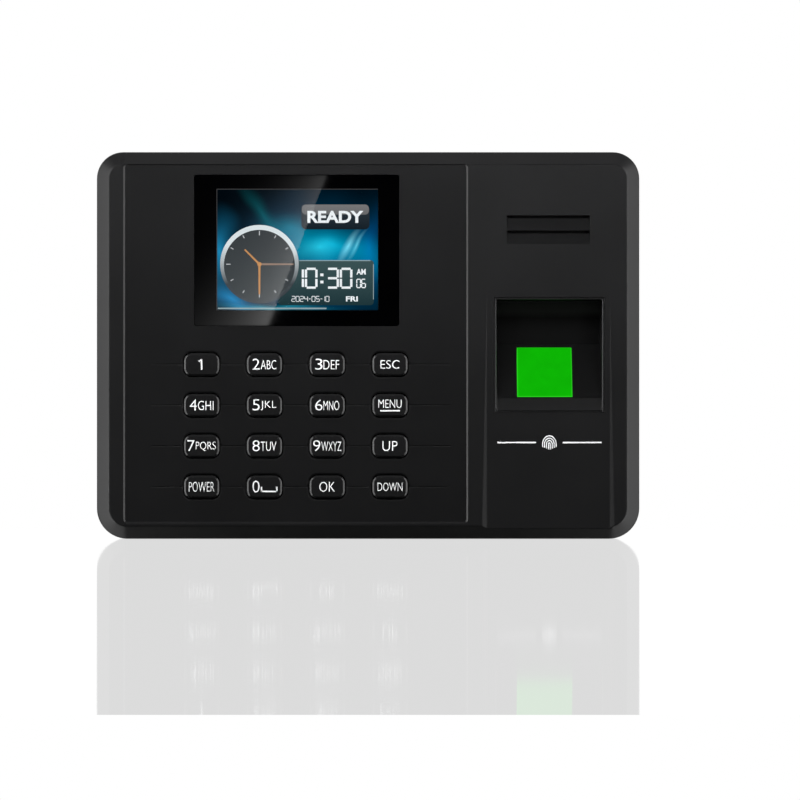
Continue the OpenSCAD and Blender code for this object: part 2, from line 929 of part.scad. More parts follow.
// The black moulding that lines the finger pocket and frames the sensor window
module sensor_bezel() {
    clear = 0.1;
    color(DARK)
        difference() {
            union() {
                section(pocket_left - tub_side + tub_fit, pocket_right + tub_side - tub_fit)
                    polygon(tub_side_view());
                slab(bezel_flange[0].x, bezel_flange[1].x,
                    bezel_flange[0].y, bezel_flange[1].y, flange_face_d, bezel_back_d);
            }
            section(pocket_left, pocket_right)
                polygon(pocket_side());
            at_window()
                translate([-window_w / 2 - clear, -EPS, -window_l / 2 - clear])
                    cube([window_w + 2 * clear, 6, window_l + 2 * clear]);
            for (at = sensor_screw_at)
                rod(at, sensor_screw_r + 0.25, flange_face_d + EPS, bezel_back_d - EPS);
        }
}

// Places its children at the window's centre, Y into the terminal, Z up the slope
module at_window() {
    translate([sensor_x, -window_d, window_z])
        rotate([-sensor_tilt, 0, 0])
            children();
}

// The optical prism whose front face takes the finger
module sensor_prism() {
    depth = 8.6;
    half = window_l / 2;
    color(GREEN)
        at_window()
            section(-window_w / 2, window_w / 2)
                polygon([
                    [0, -half], [0, half], [tub_wall, half],
                    [depth, half - 7], [depth, -half + 7], [tub_wall, -half]
                ]);
}

// The dark box behind the prism, which carries the light board and the camera
module sensor_chamber() {
    top_d = pocket_back_d - tub_wall;
    joint_z = slope_z(tub_wall, bezel_back_d);
    outer = [
        [-bezel_back_d, chamber_low], [-bezel_back_d, joint_z],
        [-top_d, slope_z(tub_wall, top_d)], [-top_d, chamber_high],
        [-chamber_back_d, chamber_high], [-chamber_back_d, chamber_low]
    ];
    color(DARK)
        difference() {
            section(chamber_left, chamber_right)
                polygon(outer);
            intersection() {
                section(chamber_left + chamber_wall, chamber_right - chamber_wall)
                    polygon([for (p = outer) p + [p.x > -chamber_back_d - 1 ? EPS : -EPS, 0]]);
                slab(chamber_left, chamber_right, chamber_low + chamber_wall,
                    chamber_high - chamber_wall, face_d, 0);
            }
        }
}

// The strip under the prism that carries the green lamps
module sensor_light_board() {
    low = chamber_low + chamber_wall;
    color(BOARD)
        slab(51, 72, low, low + 1, 28, 15);
}

module sensor_leds() {
    low = chamber_low + chamber_wall + 1;
    color(GREEN)
        for (x = [54, 59, 64, 69])
            post(x, 24, low, low + 1.8, 1.5);
}

// The small camera that reads the prism
module sensor_camera() {
    at = [sensor_x, camera_z];
    front = chamber_back_d + 5.5;
    color(DARK) {
        rod(at, 3.4, front, chamber_back_d + 3);
        slab(at.x - 4.5, at.x + 4.5, at.y - 4.5, at.y + 4.5,
            chamber_back_d + 3, chamber_back_d);
    }
}

module sensor_camera_board() {
    color(BOARD)
        slab(chamber_left - 0.5, chamber_right + 0.5, chamber_low, chamber_high,
            chamber_back_d, chamber_back_d - 1.4);
}

// The flat cable from the camera board to the main board
module sensor_flex() {
    outer_d = chamber_back_d - 0.7;
    inner = board_back_d - 0.9;
    color(AMBER)
        translate([0, 0, -22])
            linear_extrude(12)
                strip([
                    [chamber_left - 0.5 - flex_t, -outer_d], [40.5, -outer_d],
                    [40.5, -inner], [34.5, -inner]
                ], flex_t);
}

module sensor_screws() {
    color(STEEL)
        for (at = sensor_screw_at)
            screw(at, bezel_back_d, sensor_screw_r, 3.6, 1.9, 1);
}

// Each plate hook: a neck through the slot and a lip up behind the wall
module hook(x, z) {
    slab(x - hook_w / 2, x + hook_w / 2, z, z + plate_t, lip_d + plate_t, plate_t - EPS);
    slab(x - hook_w / 2, x + hook_w / 2, z, z + hook_rise, lip_d + plate_t, lip_d);
}

module wall_plate() {
    hole_w = 34;
    hole_h = 22;
    tab_left = tab_x - tab_w / 2;
    tab_right = tab_x + tab_w / 2;
    color(STEEL)
        difference() {
            union() {
                layer(plate_t, 0)
                    rounded([0, (plate_low + plate_high) / 2],
                        [2 * plate_half_w, plate_high - plate_low], 4);
                slab(tab_left, tab_right, tab_z, plate_low + 5, plate_t, 0);
                slab(tab_left, tab_right, tab_z, tab_z + plate_t, tab_reach_d, 0);
                for (x = [-hook_x, hook_x], z = hook_zs)
                    hook(x, z);
            }
            layer(plate_t + EPS, -EPS)
                rounded([0, 0], [hole_w, hole_h], 3);
            for (x = [-hook_x, hook_x], z = hook_zs)
                slab(x - hook_w / 2, x + hook_w / 2, z + plate_t, z + plate_t + 7,
                    plate_t + EPS, -EPS);
            for (i = [-1, 1], j = [-1, 1])
                rod([i * screw_pitch_x / 2, j * screw_pitch_z / 2], screw_hole_r,
                    plate_t + EPS, -EPS);
            post(tab_x, lock_d, tab_z - EPS, tab_z + plate_t + EPS, lock_r + RUN);
        }
}

// The screw that locks the housing down on the plate, driven up from the base
module lock_screw() {
    color(STEEL) {
        post(tab_x, lock_d, tab_z - lock_head_t, tab_z, lock_head_r);
        post(tab_x, lock_d, tab_z - EPS, tab_z + plate_t + lock_l, lock_r);
    }
}

front_housing();
rear_housing();
housing_screws();
display_lens();
lens_tape();
display_gasket();
display_panel();
display_backlight();
display_frame();
display_flex();
key(0, 0);  // key_1
key(1, 0);  // key_2
key(2, 0);  // key_3
key(3, 0);  // key_esc
key(0, 1);  // key_4
key(1, 1);  // key_5
key(2, 1);  // key_6
key(3, 1);  // key_menu
key(0, 2);  // key_7
key(1, 2);  // key_8
key(2, 2);  // key_9
key(3, 2);  // key_up
key(0, 3);  // key_power
key(1, 3);  // key_0
key(2, 3);  // key_ok
key(3, 3);  // key_down
keypad_mat();
keypad_board();
keypad_screws();
keypad_header();
main_board();
board_chips();
board_connectors();
board_screws();
network_jack();
power_jack();
usb_port();
reset_switch();
reset_button();
coin_cell_holder();
coin_cell();
backup_battery();
speaker();
speaker_gasket();
speaker_leads();
sensor_bezel();
sensor_prism();
sensor_chamber();
sensor_light_board();
sensor_leds();
sensor_camera();
sensor_camera_board();
sensor_flex();
sensor_screws();
wall_plate();
lock_screw();
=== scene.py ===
import math

import bmesh
import bpy
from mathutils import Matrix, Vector
from mathutils.bvhtree import BVHTree

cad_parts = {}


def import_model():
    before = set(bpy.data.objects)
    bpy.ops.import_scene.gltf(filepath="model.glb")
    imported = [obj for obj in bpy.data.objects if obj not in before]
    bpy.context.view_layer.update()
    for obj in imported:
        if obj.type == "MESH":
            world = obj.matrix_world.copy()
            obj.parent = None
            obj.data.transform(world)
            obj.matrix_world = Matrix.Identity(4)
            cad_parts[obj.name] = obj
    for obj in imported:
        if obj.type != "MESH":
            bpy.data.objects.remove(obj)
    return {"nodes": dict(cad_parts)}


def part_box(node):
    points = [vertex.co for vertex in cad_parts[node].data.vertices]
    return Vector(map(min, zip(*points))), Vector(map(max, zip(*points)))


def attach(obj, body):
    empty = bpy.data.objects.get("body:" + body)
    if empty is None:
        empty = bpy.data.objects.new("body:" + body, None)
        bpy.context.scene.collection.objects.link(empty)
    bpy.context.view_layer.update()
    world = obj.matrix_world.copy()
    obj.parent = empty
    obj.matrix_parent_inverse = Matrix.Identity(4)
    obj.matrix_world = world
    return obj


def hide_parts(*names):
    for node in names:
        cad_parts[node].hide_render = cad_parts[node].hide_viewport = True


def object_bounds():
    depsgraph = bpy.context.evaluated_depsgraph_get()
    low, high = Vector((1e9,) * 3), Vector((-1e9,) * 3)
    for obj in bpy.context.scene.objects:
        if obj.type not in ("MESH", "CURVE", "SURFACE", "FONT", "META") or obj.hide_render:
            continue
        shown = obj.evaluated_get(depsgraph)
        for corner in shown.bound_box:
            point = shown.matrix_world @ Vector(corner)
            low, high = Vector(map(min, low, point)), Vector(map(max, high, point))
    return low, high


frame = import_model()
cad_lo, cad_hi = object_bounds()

MM = 0.001
HOUSING = "housing"
WALL_MOUNT = "wall_mount"
RESET_BODY = "reset_button_body"

# Where the main features lie, from the frame
BODY_LO, BODY_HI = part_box("front_housing")
LENS_LO, LENS_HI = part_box("display_lens")
SCREEN_LO, SCREEN_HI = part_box("display_panel")
BEZEL_LO, BEZEL_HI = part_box("sensor_bezel")
WINDOW_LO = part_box("sensor_prism")[0]
FRONT = BODY_LO.y
JOINT = BODY_HI.y
PANEL = LENS_LO.y

# The front's bevel, and the radii of the body's upper and lower corners
BEVEL_W = 4.5 * MM
BEVEL_DEPTH = 5 * MM
UPPER_CORNER_R = 9.2 * MM
LOWER_CORNER_R = 10.6 * MM

# The finger channel, right of the panel
CHANNEL_LEFT = 39 * MM
CHANNEL_TOP = 19 * MM

# The sunk panel's upper corners, where the top bevel cuts its rim
PANEL_SIDES = (-83.6 * MM, 33.6 * MM)
PANEL_TOP = 62 * MM

# The finger pocket: its inner faces, the lower edges of its lip and opening, its window's tilt, and
# the band of height in which painted light turns its shaded back wall paler
POCKET_LEFT = 44.4 * MM
POCKET_RIGHT = 80.9 * MM
POCKET_TOP = 15.7 * MM
LIP_FOOT = -22.8 * MM
OPENING_FOOT = -23.4 * MM
WINDOW_TILT = math.radians(31)
WALL_PAINTED_LIGHT = (9.7 * MM, 12 * MM)

# The picture on the display, and the middles of its badge and clock in millimetres from its own
PICTURE_W = 55.6 * MM
PICTURE_H = 41.7 * MM
PICTURE_X = (SCREEN_LO.x + SCREEN_HI.x) / 2
PICTURE_Z = (SCREEN_LO.z + SCREEN_HI.z) / 2
LAYER = 0.02 * MM
BADGE_AT = (13.1, 11.4)
CLOCK_AT = (-13.2, -5.0)

# Keys: legends by node, as a large character and small letters, and the widths of the words and of
# three and four letters in millimetres
KEY_FLANGE = 0.9 * MM
KEY_R = 2.6 * MM
KEY_CAP_DEPTH = 3.6 * MM
LEGEND_BOLD = -0.01
LEGEND_DEPTH = 0.03 * MM
LEGENDS = {
    "key_1": ("1", ""), "key_2": ("2", "ABC"), "key_3": ("3", "DEF"), "key_esc": ("", "ESC"),
    "key_4": ("4", "GHI"), "key_5": ("5", "JKL"), "key_6": ("6", "MNO"), "key_menu": ("", "MENU"),
    "key_7": ("7", "PQRS"), "key_8": ("8", "TUV"), "key_9": ("9", "WXYZ"), "key_up": ("", "UP"),
    "key_power": ("", "POWER"), "key_0": ("0", ""), "key_ok": ("", "OK"), "key_down": ("", "DOWN"),
}
WORD_WIDTHS = {"ESC": 6.6, "MENU": 8.0, "UP": 5.2, "POWER": 8.8, "OK": 5.4, "DOWN": 8.6}
LETTERS_WIDTHS = {3: 5.4, 4: 6.9}

# Mesh work
WELD = 2e-6
FLAT_ANGLE = math.radians(0.3)
SHARP_ANGLE = math.radians(28)
SHADE_ANGLE = math.radians(38)
ROUND_STEPS = 3
LARGEST_ROUNDING = 0.6 * MM


# ---------------------------------------------------------------- materials

class Nodes:
    """Builds a node tree; each input is a value or another node's output."""

    def __init__(self, owner):
        owner.use_nodes = True
        self.tree = owner.node_tree

    def feed(self, socket, value):
        if isinstance(value, bpy.types.NodeSocket):
            self.tree.links.new(value, socket)
        else:
            socket.default_value = value

    def add(self, kind, inputs=None, **properties):
        node = self.tree.nodes.new(kind)
        for key, value in properties.items():
            setattr(node, key, value)
        for key, value in (inputs or {}).items():
            self.feed(node.inputs[key], value)
        return node

    def math(self, operation, first, second=0.0, clamp=False):
        inputs = {0: first, 1: second}
        return self.add("ShaderNodeMath", inputs, operation=operation, use_clamp=clamp).outputs[0]

    def spread(self, value, low, high, start=0.0, end=1.0, **properties):
        """Maps a value that runs from start to end onto low to high."""
        inputs = {"Value": value, "From Min": start, "From Max": end, "To Min": low, "To Max": high}
        return self.add("ShaderNodeMapRange", inputs, **properties).outputs[0]

    def along(self, vector, axis):
        return self.add("ShaderNodeSeparateXYZ", {"Vector": vector}).outputs[axis]

    def blend(self, share, first, second):
        """A shader between two others."""
        return self.add("ShaderNodeMixShader", {0: share, 1: first, 2: second}).outputs[0]


class Finish(Nodes):
    """A node material round one Principled shader."""

    def __init__(self, name, colour, rough, metallic=0.0, **sockets):
        self.material = bpy.data.materials.new(name)
        super().__init__(self.material)
        self.shader = self.tree.nodes["Principled BSDF"]
        self.link((*colour, 1), "Base Color")
        self.link(rough, "Roughness")
        self.link(metallic, "Metallic")
        for key, value in sockets.items():
            self.link(value, key.replace("_", " "))
        self.coords = self.add("ShaderNodeTexCoord").outputs["Object"]

    def link(self, value, socket):
        self.feed(self.shader.inputs[socket], value)

    def noise(self, size, detail=2.0):
        """Noise whose spots are about size metres across."""
        settings = {"Vector": self.coords, "Scale": 1 / size, "Detail": detail}
        return self.add("ShaderNodeTexNoise", settings).outputs["Fac"]

    def ramp(self, factor, low, high, start=0.3, end=0.7):
        """Blends two colours while a factor runs from start to end."""
        node = self.add("ShaderNodeValToRGB", {"Fac": factor})
        for element, place, colour in zip(node.color_ramp.elements, (start, end), (low, high)):
            element.position = place
            element.color = (*colour, 1)
        return node.outputs["Color"]

    def bump(self, height, strength, distance):
        node = self.add("ShaderNodeBump", {"Height": height, "Strength": strength, "Distance": distance})
        self.link(node.outputs["Normal"], "Normal")

    def mottle(self, colour, amount, size):
        """Slow variation of the base colour."""
        self.link(self.ramp(self.noise(size, 3), *around(colour, amount)), "Base Color")


def around(colour, amount):
    """The same colour a little darker and a little lighter."""
    return [tuple(c * share for c in colour) for share in (1 - amount, 1 + amount)]


def moulded(name, colour, rough, grain=0.16, depth=0.012):
    """Moulded plastic with a fine spark-eroded grain; grain and depth in millimetres."""
    f = Finish(name, colour, rough)
    f.mottle(colour, 0.1, 30 * MM)
    f.link(f.spread(f.noise(6 * MM, 3), rough - 0.03, rough + 0.03), "Roughness")
    f.bump(f.noise(grain * MM, 2), 0.3, depth * MM)
    return f.material


def metal(name, colour, rough, size=0.4, strength=0.15):
    """Plated metal with fine marks, whose size is in millimetres."""
    f = Finish(name, colour, rough, metallic=1.0)
    marks = f.noise(size * MM, 4)
    f.mottle(colour, 0.06, 8 * MM)
    f.link(f.spread(marks, rough - 0.07, rough + 0.09), "Roughness")
    f.bump(marks, strength, 0.004 * MM)
    return f.material


def lit(name, colour, strength, base=(0, 0, 0), variation=0.06, rough=0.3, specular=0.0):
    """A surface that glows by itself, a little unevenly."""
    f = Finish(name, base, rough, Emission_Strength=strength, Specular_IOR_Level=specular)
    f.link(f.ramp(f.noise(5 * MM, 2), *around(colour, variation)), "Emission Color")
    return f.material


def ink(name, colour):
    """Screen-printed ink with a slightly uneven layer."""
    f = Finish(name, colour, 0.5)
    f.mottle(colour, 0.05, 0.5 * MM)
    f.bump(f.noise(0.1 * MM, 2), 0.15, 0.004 * MM)
    return f.material


def clear_glass():
    f = Finish("clear_lens", (1, 1, 1), 0.01, IOR=1.49, Transmission_Weight=1.0)
    f.link(f.spread(f.noise(20 * MM, 2), 0.0, 0.015), "Roughness")
    return f.material


def lens_black():
    """The black printed border seen through the lens's polished face."""
    colour = (0.0003, 0.0003, 0.0004)
    f = Finish("lens_border", colour, 0.02, IOR=1.49)
    f.mottle(colour, 0.2, 10 * MM)
    f.link(f.spread(f.noise(20 * MM, 2), 0.01, 0.03), "Roughness")
    return f.material


def circuit_board():
    """Green solder mask with fine copper tracks showing through it."""
    f = Finish("circuit_board", (0.01, 0.09, 0.035), 0.3, Coat_Weight=0.4, Coat_Roughness=0.15)
    turned = f.add("ShaderNodeMapping", {"Vector": f.coords, "Rotation": (math.pi / 2, 0, 0)})
    tracks = f.add("ShaderNodeTexBrick", {
        "Vector": turned.outputs[0], "Scale": 1.0, "Bias": 0.0,
        "Brick Width": 4.2 * MM, "Row Height": 0.9 * MM, "Mortar Size": 0.12 * MM, "Mortar Smooth": 0.2,
        "Color1": (0.008, 0.075, 0.03, 1), "Color2": (0.01, 0.09, 0.035, 1), "Mortar": (0.03, 0.2, 0.07, 1),
    })
    f.link(tracks.outputs["Color"], "Base Color")
    f.bump(tracks.outputs["Fac"], 0.3, 0.03 * MM)
    return f.material


def foam():
    f = Finish("foam", (0.02, 0.02, 0.021), 0.9)
    pattern = f.add("ShaderNodeTexVoronoi", {"Vector": f.coords, "Scale": 1 / (0.3 * MM)})
    cells = pattern.outputs["Distance"]
    f.link(f.ramp(cells, (0.008, 0.008, 0.008), (0.03, 0.03, 0.032), 0.0, 0.6), "Base Color")
    f.bump(cells, 0.8, 0.1 * MM)
    return f.material


# Soft lights of the display's background: place and size in picture heights from its middle, turn in
# degrees and colour
SCREEN_LIGHTS = [
    ((0.25, -0.1), (1.1, 0.75), 0, (0.0, 0.1, 0.23)),
    ((0.28, 0.03), (0.8, 0.27), 12, (0.0, 0.32, 0.45)),
    ((0.16, 0.0), (0.3, 0.16), 0, (0.02, 0.35, 0.4)),
    ((0.62, 0.0), (0.2, 0.5), 10, (0.0, 0.06, 0.22)),
    ((-0.66, 0.0), (0.2, 0.42), 0, (0.01, 0.25, 0.48)),
    ((-0.3, 0.26), (0.12, 0.5), -28, (0.0, 0.07, 0.08)),
    ((-0.05, 0.14), (0.5, 0.18), -20, (0.0, 0.06, 0.08)),
    ((-0.56, -0.4), (0.42, 0.2), 25, (0.01, 0.24, 0.52)),
    ((-0.2, -0.48), (0.7, 0.06), 0, (0.02, 0.3, 0.4)),
    ((0.43, 0.02), (0.05, 0.27), 30, (0.2, 0.5, 0.55)),
    ((0.5, 0.03), (0.03, 0.25), 30, (0.12, 0.4, 0.45)),
]


def picture_background():
    """A plain pattern of soft blue lights on black for the display."""
    f = Finish("picture_background", (0, 0, 0), 0.6, Emission_Strength=1.0, Specular_IOR_Level=0.0)

    def vector_math(operation, first, second):
        return f.add("ShaderNodeVectorMath", {0: first, 1: second}, operation=operation).outputs[0]

    centred = f.add("ShaderNodeMapping", {
        "Vector": f.coords, "Location": (-PICTURE_X / PICTURE_H, 0, -PICTURE_Z / PICTURE_H),
        "Scale": (1 / PICTURE_H, 0, 1 / PICTURE_H),
    }).outputs[0]
    bend = f.add("ShaderNodeTexNoise", {"Vector": centred, "Scale": 2.2, "Detail": 1.0}).outputs["Color"]
    shift = vector_math("ADD", bend, (-0.5, -0.5, -0.5))
    place = vector_math("ADD", centred, vector_math("MULTIPLY", shift, (0.25, 0.0, 0.25)))
    colour = f.ramp(f.noise(20 * MM, 1), (0.0, 0.002, 0.004), (0.0, 0.006, 0.012))
    for (x, z), (width, height), turn, light in SCREEN_LIGHTS:
        moved = f.add("ShaderNodeMapping", {
            "Vector": place, "Location": (x, 0, z), "Rotation": (0, math.radians(turn), 0),
            "Scale": (width, 1, height),
        }, vector_type="TEXTURE").outputs[0]
        glow = f.add("ShaderNodeTexGradient", {"Vector": moved}, gradient_type="QUADRATIC_SPHERE")
        mix = {"Factor": glow.outputs["Fac"], "A": colour, "B": (*light, 1)}
        colour = f.add("ShaderNodeMix", mix, data_type="RGBA", blend_type="ADD").outputs["Result"]
    f.link(colour, "Emission Color")
    return f.material


def fade(name, low_colour, high_colour, low, high):
    """A glow whose colour changes between two heights, in millimetres from the picture's middle."""
    f = Finish(name, (0, 0, 0), 0.6, Emission_Strength=1.0, Specular_IOR_Level=0.0)
    share = f.spread(f.along(f.coords, "Z"), 0.0, 1.0, at_picture(0, low)[1], at_picture(0, high)[1])
    grain = f.spread(f.noise(3 * MM, 2), -0.06, 0.06)
    mottled = f.math("ADD", share, grain, clamp=True)
    f.link(f.ramp(mottled, low_colour, high_colour, 0.0, 1.0), "Emission Color")
    return f.material


# ---------------------------------------------------------------- mesh helpers

def add_object(name, mesh, *materials):
    for material in materials:
        mesh.materials.append(material)
    piece = bpy.data.objects.new(name, mesh)
    bpy.context.scene.collection.objects.link(piece)
    return piece


def from_bmesh(name, bm, *materials, smooth=True):
    bmesh.ops.recalc_face_normals(bm, faces=bm.faces)
    mesh = bpy.data.meshes.new(name)
    bm.to_mesh(mesh)
    bm.free()
    if smooth:
        shade(mesh)
    return add_object(name, mesh, *materials)


def shade(mesh):
    mesh.shade_smooth()
    mesh.set_sharp_from_angle(angle=SHADE_ANGLE)


def flatten_normals(piece):
    """Keeps the large flat faces flat in the shading beside their round edges."""
    normals = piece.modifiers.new("normals", "WEIGHTED_NORMAL")
    normals.keep_sharp = True
    return settle(piece)


def settle(piece):
    """Writes the modifiers into the mesh."""
    evaluated = piece.evaluated_get(bpy.context.evaluated_depsgraph_get())
    mesh = bpy.data.meshes.new_from_object(evaluated)
    piece.modifiers.clear()
    piece.data = mesh
    return piece


def place(piece, body, slot, *nodes):
    """Lets a finished piece ride on a body and stand for CAD nodes, which it hides; slot is not used."""
    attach(piece, body)
    if nodes:
        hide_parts(*nodes)


def refined(node, material, width_at, steps=ROUND_STEPS):
    """A copy of a CAD node with rounded edges; width_at gives the width at an edge's middle."""
    bm = bmesh.new()
    bm.from_mesh(frame["nodes"][node].data)
    bmesh.ops.remove_doubles(bm, verts=bm.verts, dist=WELD)
    bmesh.ops.dissolve_limit(bm, angle_limit=FLAT_ANGLE, verts=bm.verts, edges=bm.edges)
    weight = bm.edges.layers.float.new("bevel_weight_edge")
    for edge in bm.edges:
        if len(edge.link_faces) == 2 and edge.calc_face_angle(0) > SHARP_ANGLE:
            middle = (edge.verts[0].co + edge.verts[1].co) / 2
            edge[weight] = width_at(middle) / LARGEST_ROUNDING
    piece = from_bmesh("fine_" + node, bm, material)
    rounding = piece.modifiers.new("rounding", "BEVEL")
    rounding.limit_method = "WEIGHT"
    rounding.width = LARGEST_ROUNDING
    rounding.segments = steps
    rounding.use_clamp_overlap = False
    rounding.loop_slide = False
    settle(piece)
    shade(piece.data)
    return flatten_normals(piece)


def rounded_outline(centre, size, r, steps=6, arch=0.0):
    """Points of a rectangle with round corners, anticlockwise; arch lowers its top corners."""
    cx, cz = centre
    half_w, half_h = size[0] / 2 - r, size[1] / 2 - r
    points = []
    corners = [(1, 1, 0), (-1, 1, 90), (-1, -1, 180), (1, -1, 270)]
    for sx, sz, start in corners:
        for i in range(steps + 1):
            angle = math.radians(start + 90 * i / steps)
            x = sx * half_w + r * math.cos(angle)
            z = sz * half_h + r * math.sin(angle)
            if z > 0:
                z -= arch * (x / (size[0] / 2)) ** 2 * z / (size[1] / 2)
            points.append((cx + x, cz + z))
    return points


def circle_outline(centre, r, steps):
    turns = [math.tau * i / steps for i in range(steps)]
    return [(centre[0] + r * math.cos(turn), centre[1] + r * math.sin(turn)) for turn in turns]


def skin(bm, first, second):
    """Faces between two closed rings with the same number of vertices."""
    for i in range(len(first)):
        j = (i + 1) % len(first)
        bm.faces.new((first[i], first[j], second[j], second[i]))


def loft(bm, loops, cap=True):
    """A skin through closed loops of points; all loops have the same number of points."""
    rings = [[bm.verts.new(p) for p in loop] for loop in loops]
    for first, second in zip(rings, rings[1:]):
        skin(bm, first, second)
    if cap:
        bm.faces.new(rings[0])
        bm.faces.new(rings[-1])
    return rings


def front_loop(outline, y):
    return [(x, y, z) for x, z in outline]


def prism(bm, outline, y, depth):
    """A flat piece with its front at y."""
    loft(bm, [front_loop(outline, y), front_loop(outline, y + depth)])


def bar(bm, start, end, width, y, depth, end_width=None):
    """A flat straight bar between two points of the front view."""
    a, b = Vector(start), Vector(end)
    side = (b - a).normalized().orthogonal()
    half, tip = width / 2, (width if end_width is None else end_width) / 2
    prism(bm, [a + side * half, b + side * tip, b - side * tip, a - side * half], y, depth)


def band(bm, outer, inner, y, depth):
    """A flat ring between two outlines with the same number of points."""
    back = y + depth
    rings = [
        [bm.verts.new(p) for p in front_loop(outline, where)]
        for outline, where in ((outer, y), (inner, y), (inner, back), (outer, back))
    ]
    for first, second in zip(rings, rings[1:] + rings[:1]):
        skin(bm, first, second)


def lettering(bm, text, centre, height, y, depth, width, bold):
    """Adds text as thin solid letters of one height and width."""
    curve = bpy.data.curves.new("letters", "FONT")
    curve.body = text
    curve.offset = bold
    curve.extrude = 0.1
    curve.resolution_u = 4
    letters = bpy.data.objects.new("letters", curve)
    bpy.context.scene.collection.objects.link(letters)
    bpy.context.view_layer.update()
    mesh = bpy.data.meshes.new_from_object(letters.evaluated_get(bpy.context.evaluated_depsgraph_get()))
    bpy.data.objects.remove(letters)
    bpy.data.curves.remove(curve)
    xs = [v.co.x for v in mesh.vertices]
    ys = [v.co.y for v in mesh.vertices]
    tall = height / (max(ys) - min(ys))
    wide = width / (max(xs) - min(xs))
    middle = Vector(((max(xs) + min(xs)) / 2, (max(ys) + min(ys)) / 2))
    for v in mesh.vertices:
        v.co = (
            centre[0] + (v.co.x - middle.x) * wide,
            y if v.co.z > 0 else y + depth,
            centre[1] + (v.co.y - middle.y) * tall,
        )
    bm.from_mesh(mesh)
    bpy.data.meshes.remove(mesh)


# ---------------------------------------------------------------- finishes

HOUSING_BLACK = moulded("housing_black", (0.0085, 0.0085, 0.0088), 0.34)
BEZEL_BLACK = moulded("bezel_black", (0.009, 0.009, 0.0093), 0.3, grain=0.2, depth=0.006)
KEY_BLACK = moulded("key_black", (0.0085, 0.0085, 0.0088), 0.24, grain=0.2, depth=0.003)
WHITE_INK = ink("white_ink", (0.86, 0.87, 0.88))


# ---------------------------------------------------------------- housing

def near(value, target, reach=0.15 * MM):
    return abs(value - target) < reach


def front_edge_width(p):
    """How far each edge of the front housing is rounded."""
    outside = min(abs(abs(p.x) - BODY_HI.x), abs(abs(p.z) - BODY_HI.z)) < 4.8 * MM
    corner = abs(p.x) > 80 * MM and abs(p.z) > 54 * MM
    if near(p.y, JOINT) and (outside or corner):
        return 0.15 * MM if is_outer(p) else 0
    if near(p.y, FRONT + BEVEL_DEPTH) and is_outer(p):
        return 0.6 * MM
    if p.z > PANEL_TOP and any(near(p.x, side, 2 * MM) for side in PANEL_SIDES):
        return 0
    if near(p.y, FRONT) and is_rim(p):
        return 0.45 * MM
    in_channel = p.x > CHANNEL_LEFT and p.z < CHANNEL_TOP
    if in_channel and p.y < PANEL + 0.7 * MM and near(p.y, FRONT, 1.1 * MM):
        return 0.04 * MM if is_pocket(p) else 0.25 * MM
    if p.y > PANEL + 0.1 * MM:
        return 0
    return 0.08 * MM


def is_pocket(p):
    """Whether a point is on the edge of the opening that the sensor bezel fills."""
    if not BEZEL_LO.x < p.x < BEZEL_HI.x or p.z < OPENING_FOOT - 0.9 * MM:
        return False
    return (near(p.x, POCKET_LEFT, 1 * MM) or near(p.x, POCKET_RIGHT, 1 * MM)
            or near(p.z, OPENING_FOOT))


def corner_reach(p, inset):
    """Distance of a point from the body's outline moved in by inset; 0 on it."""
    r = UPPER_CORNER_R if p.z > 0 else LOWER_CORNER_R
    dx = abs(p.x) - (BODY_HI.x - r)
    dz = abs(p.z) - (BODY_HI.z - r)
    if dx > 0 and dz > 0:
        return abs(math.hypot(dx, dz) - (r - inset))
    return min(abs(dx - (r - inset)), abs(dz - (r - inset)))


def is_outer(p):
    return corner_reach(p, 0) < 0.1 * MM


def is_rim(p):
    return corner_reach(p, BEVEL_W) < 0.15 * MM


def rear_edge_width(p):
    if is_outer(p) and near(p.y, JOINT):
        return 0.15 * MM
    if is_outer(p) and p.y > JOINT + 1 * MM:
        return 0.4 * MM
    if p.y > -1 * MM:
        return 0.2 * MM
    return 0


def housings():
    front = refined("front_housing", HOUSING_BLACK, front_edge_width)
    # Painted shade: the louvre slopes, which tilt up into the lamps' light, get a darker copy of the
    # housing black
    front.data.materials.append(moulded("louvre_painted_shade", (0.0042, 0.0042, 0.0044), 0.34))
    # Painted shade: the sunk panel's face gets a darker copy of the housing black, for the shade of its
    # recess
    front.data.materials.append(moulded("sunk_panel_painted_shade", (0.0067, 0.0067, 0.007), 0.34))
    for face in front.data.polygons:
        normal, middle = face.normal, face.center
        painted_shade_louvre = 0.2 < normal.z < 0.4 and normal.y < -0.9 and middle.x > CHANNEL_LEFT
        # The sunk panel's face, which takes the painted shade
        panel = near(middle.y, PANEL, 0.2 * MM) and normal.y < -0.99 and middle.x < CHANNEL_LEFT
        face.material_index = 1 if painted_shade_louvre else 2 if panel else 0
    place(front, HOUSING, "housing", "front_housing")
    rear = refined("rear_housing", HOUSING_BLACK, rear_edge_width)
    place(rear, HOUSING, "housing", "rear_housing")


# ---------------------------------------------------------------- display

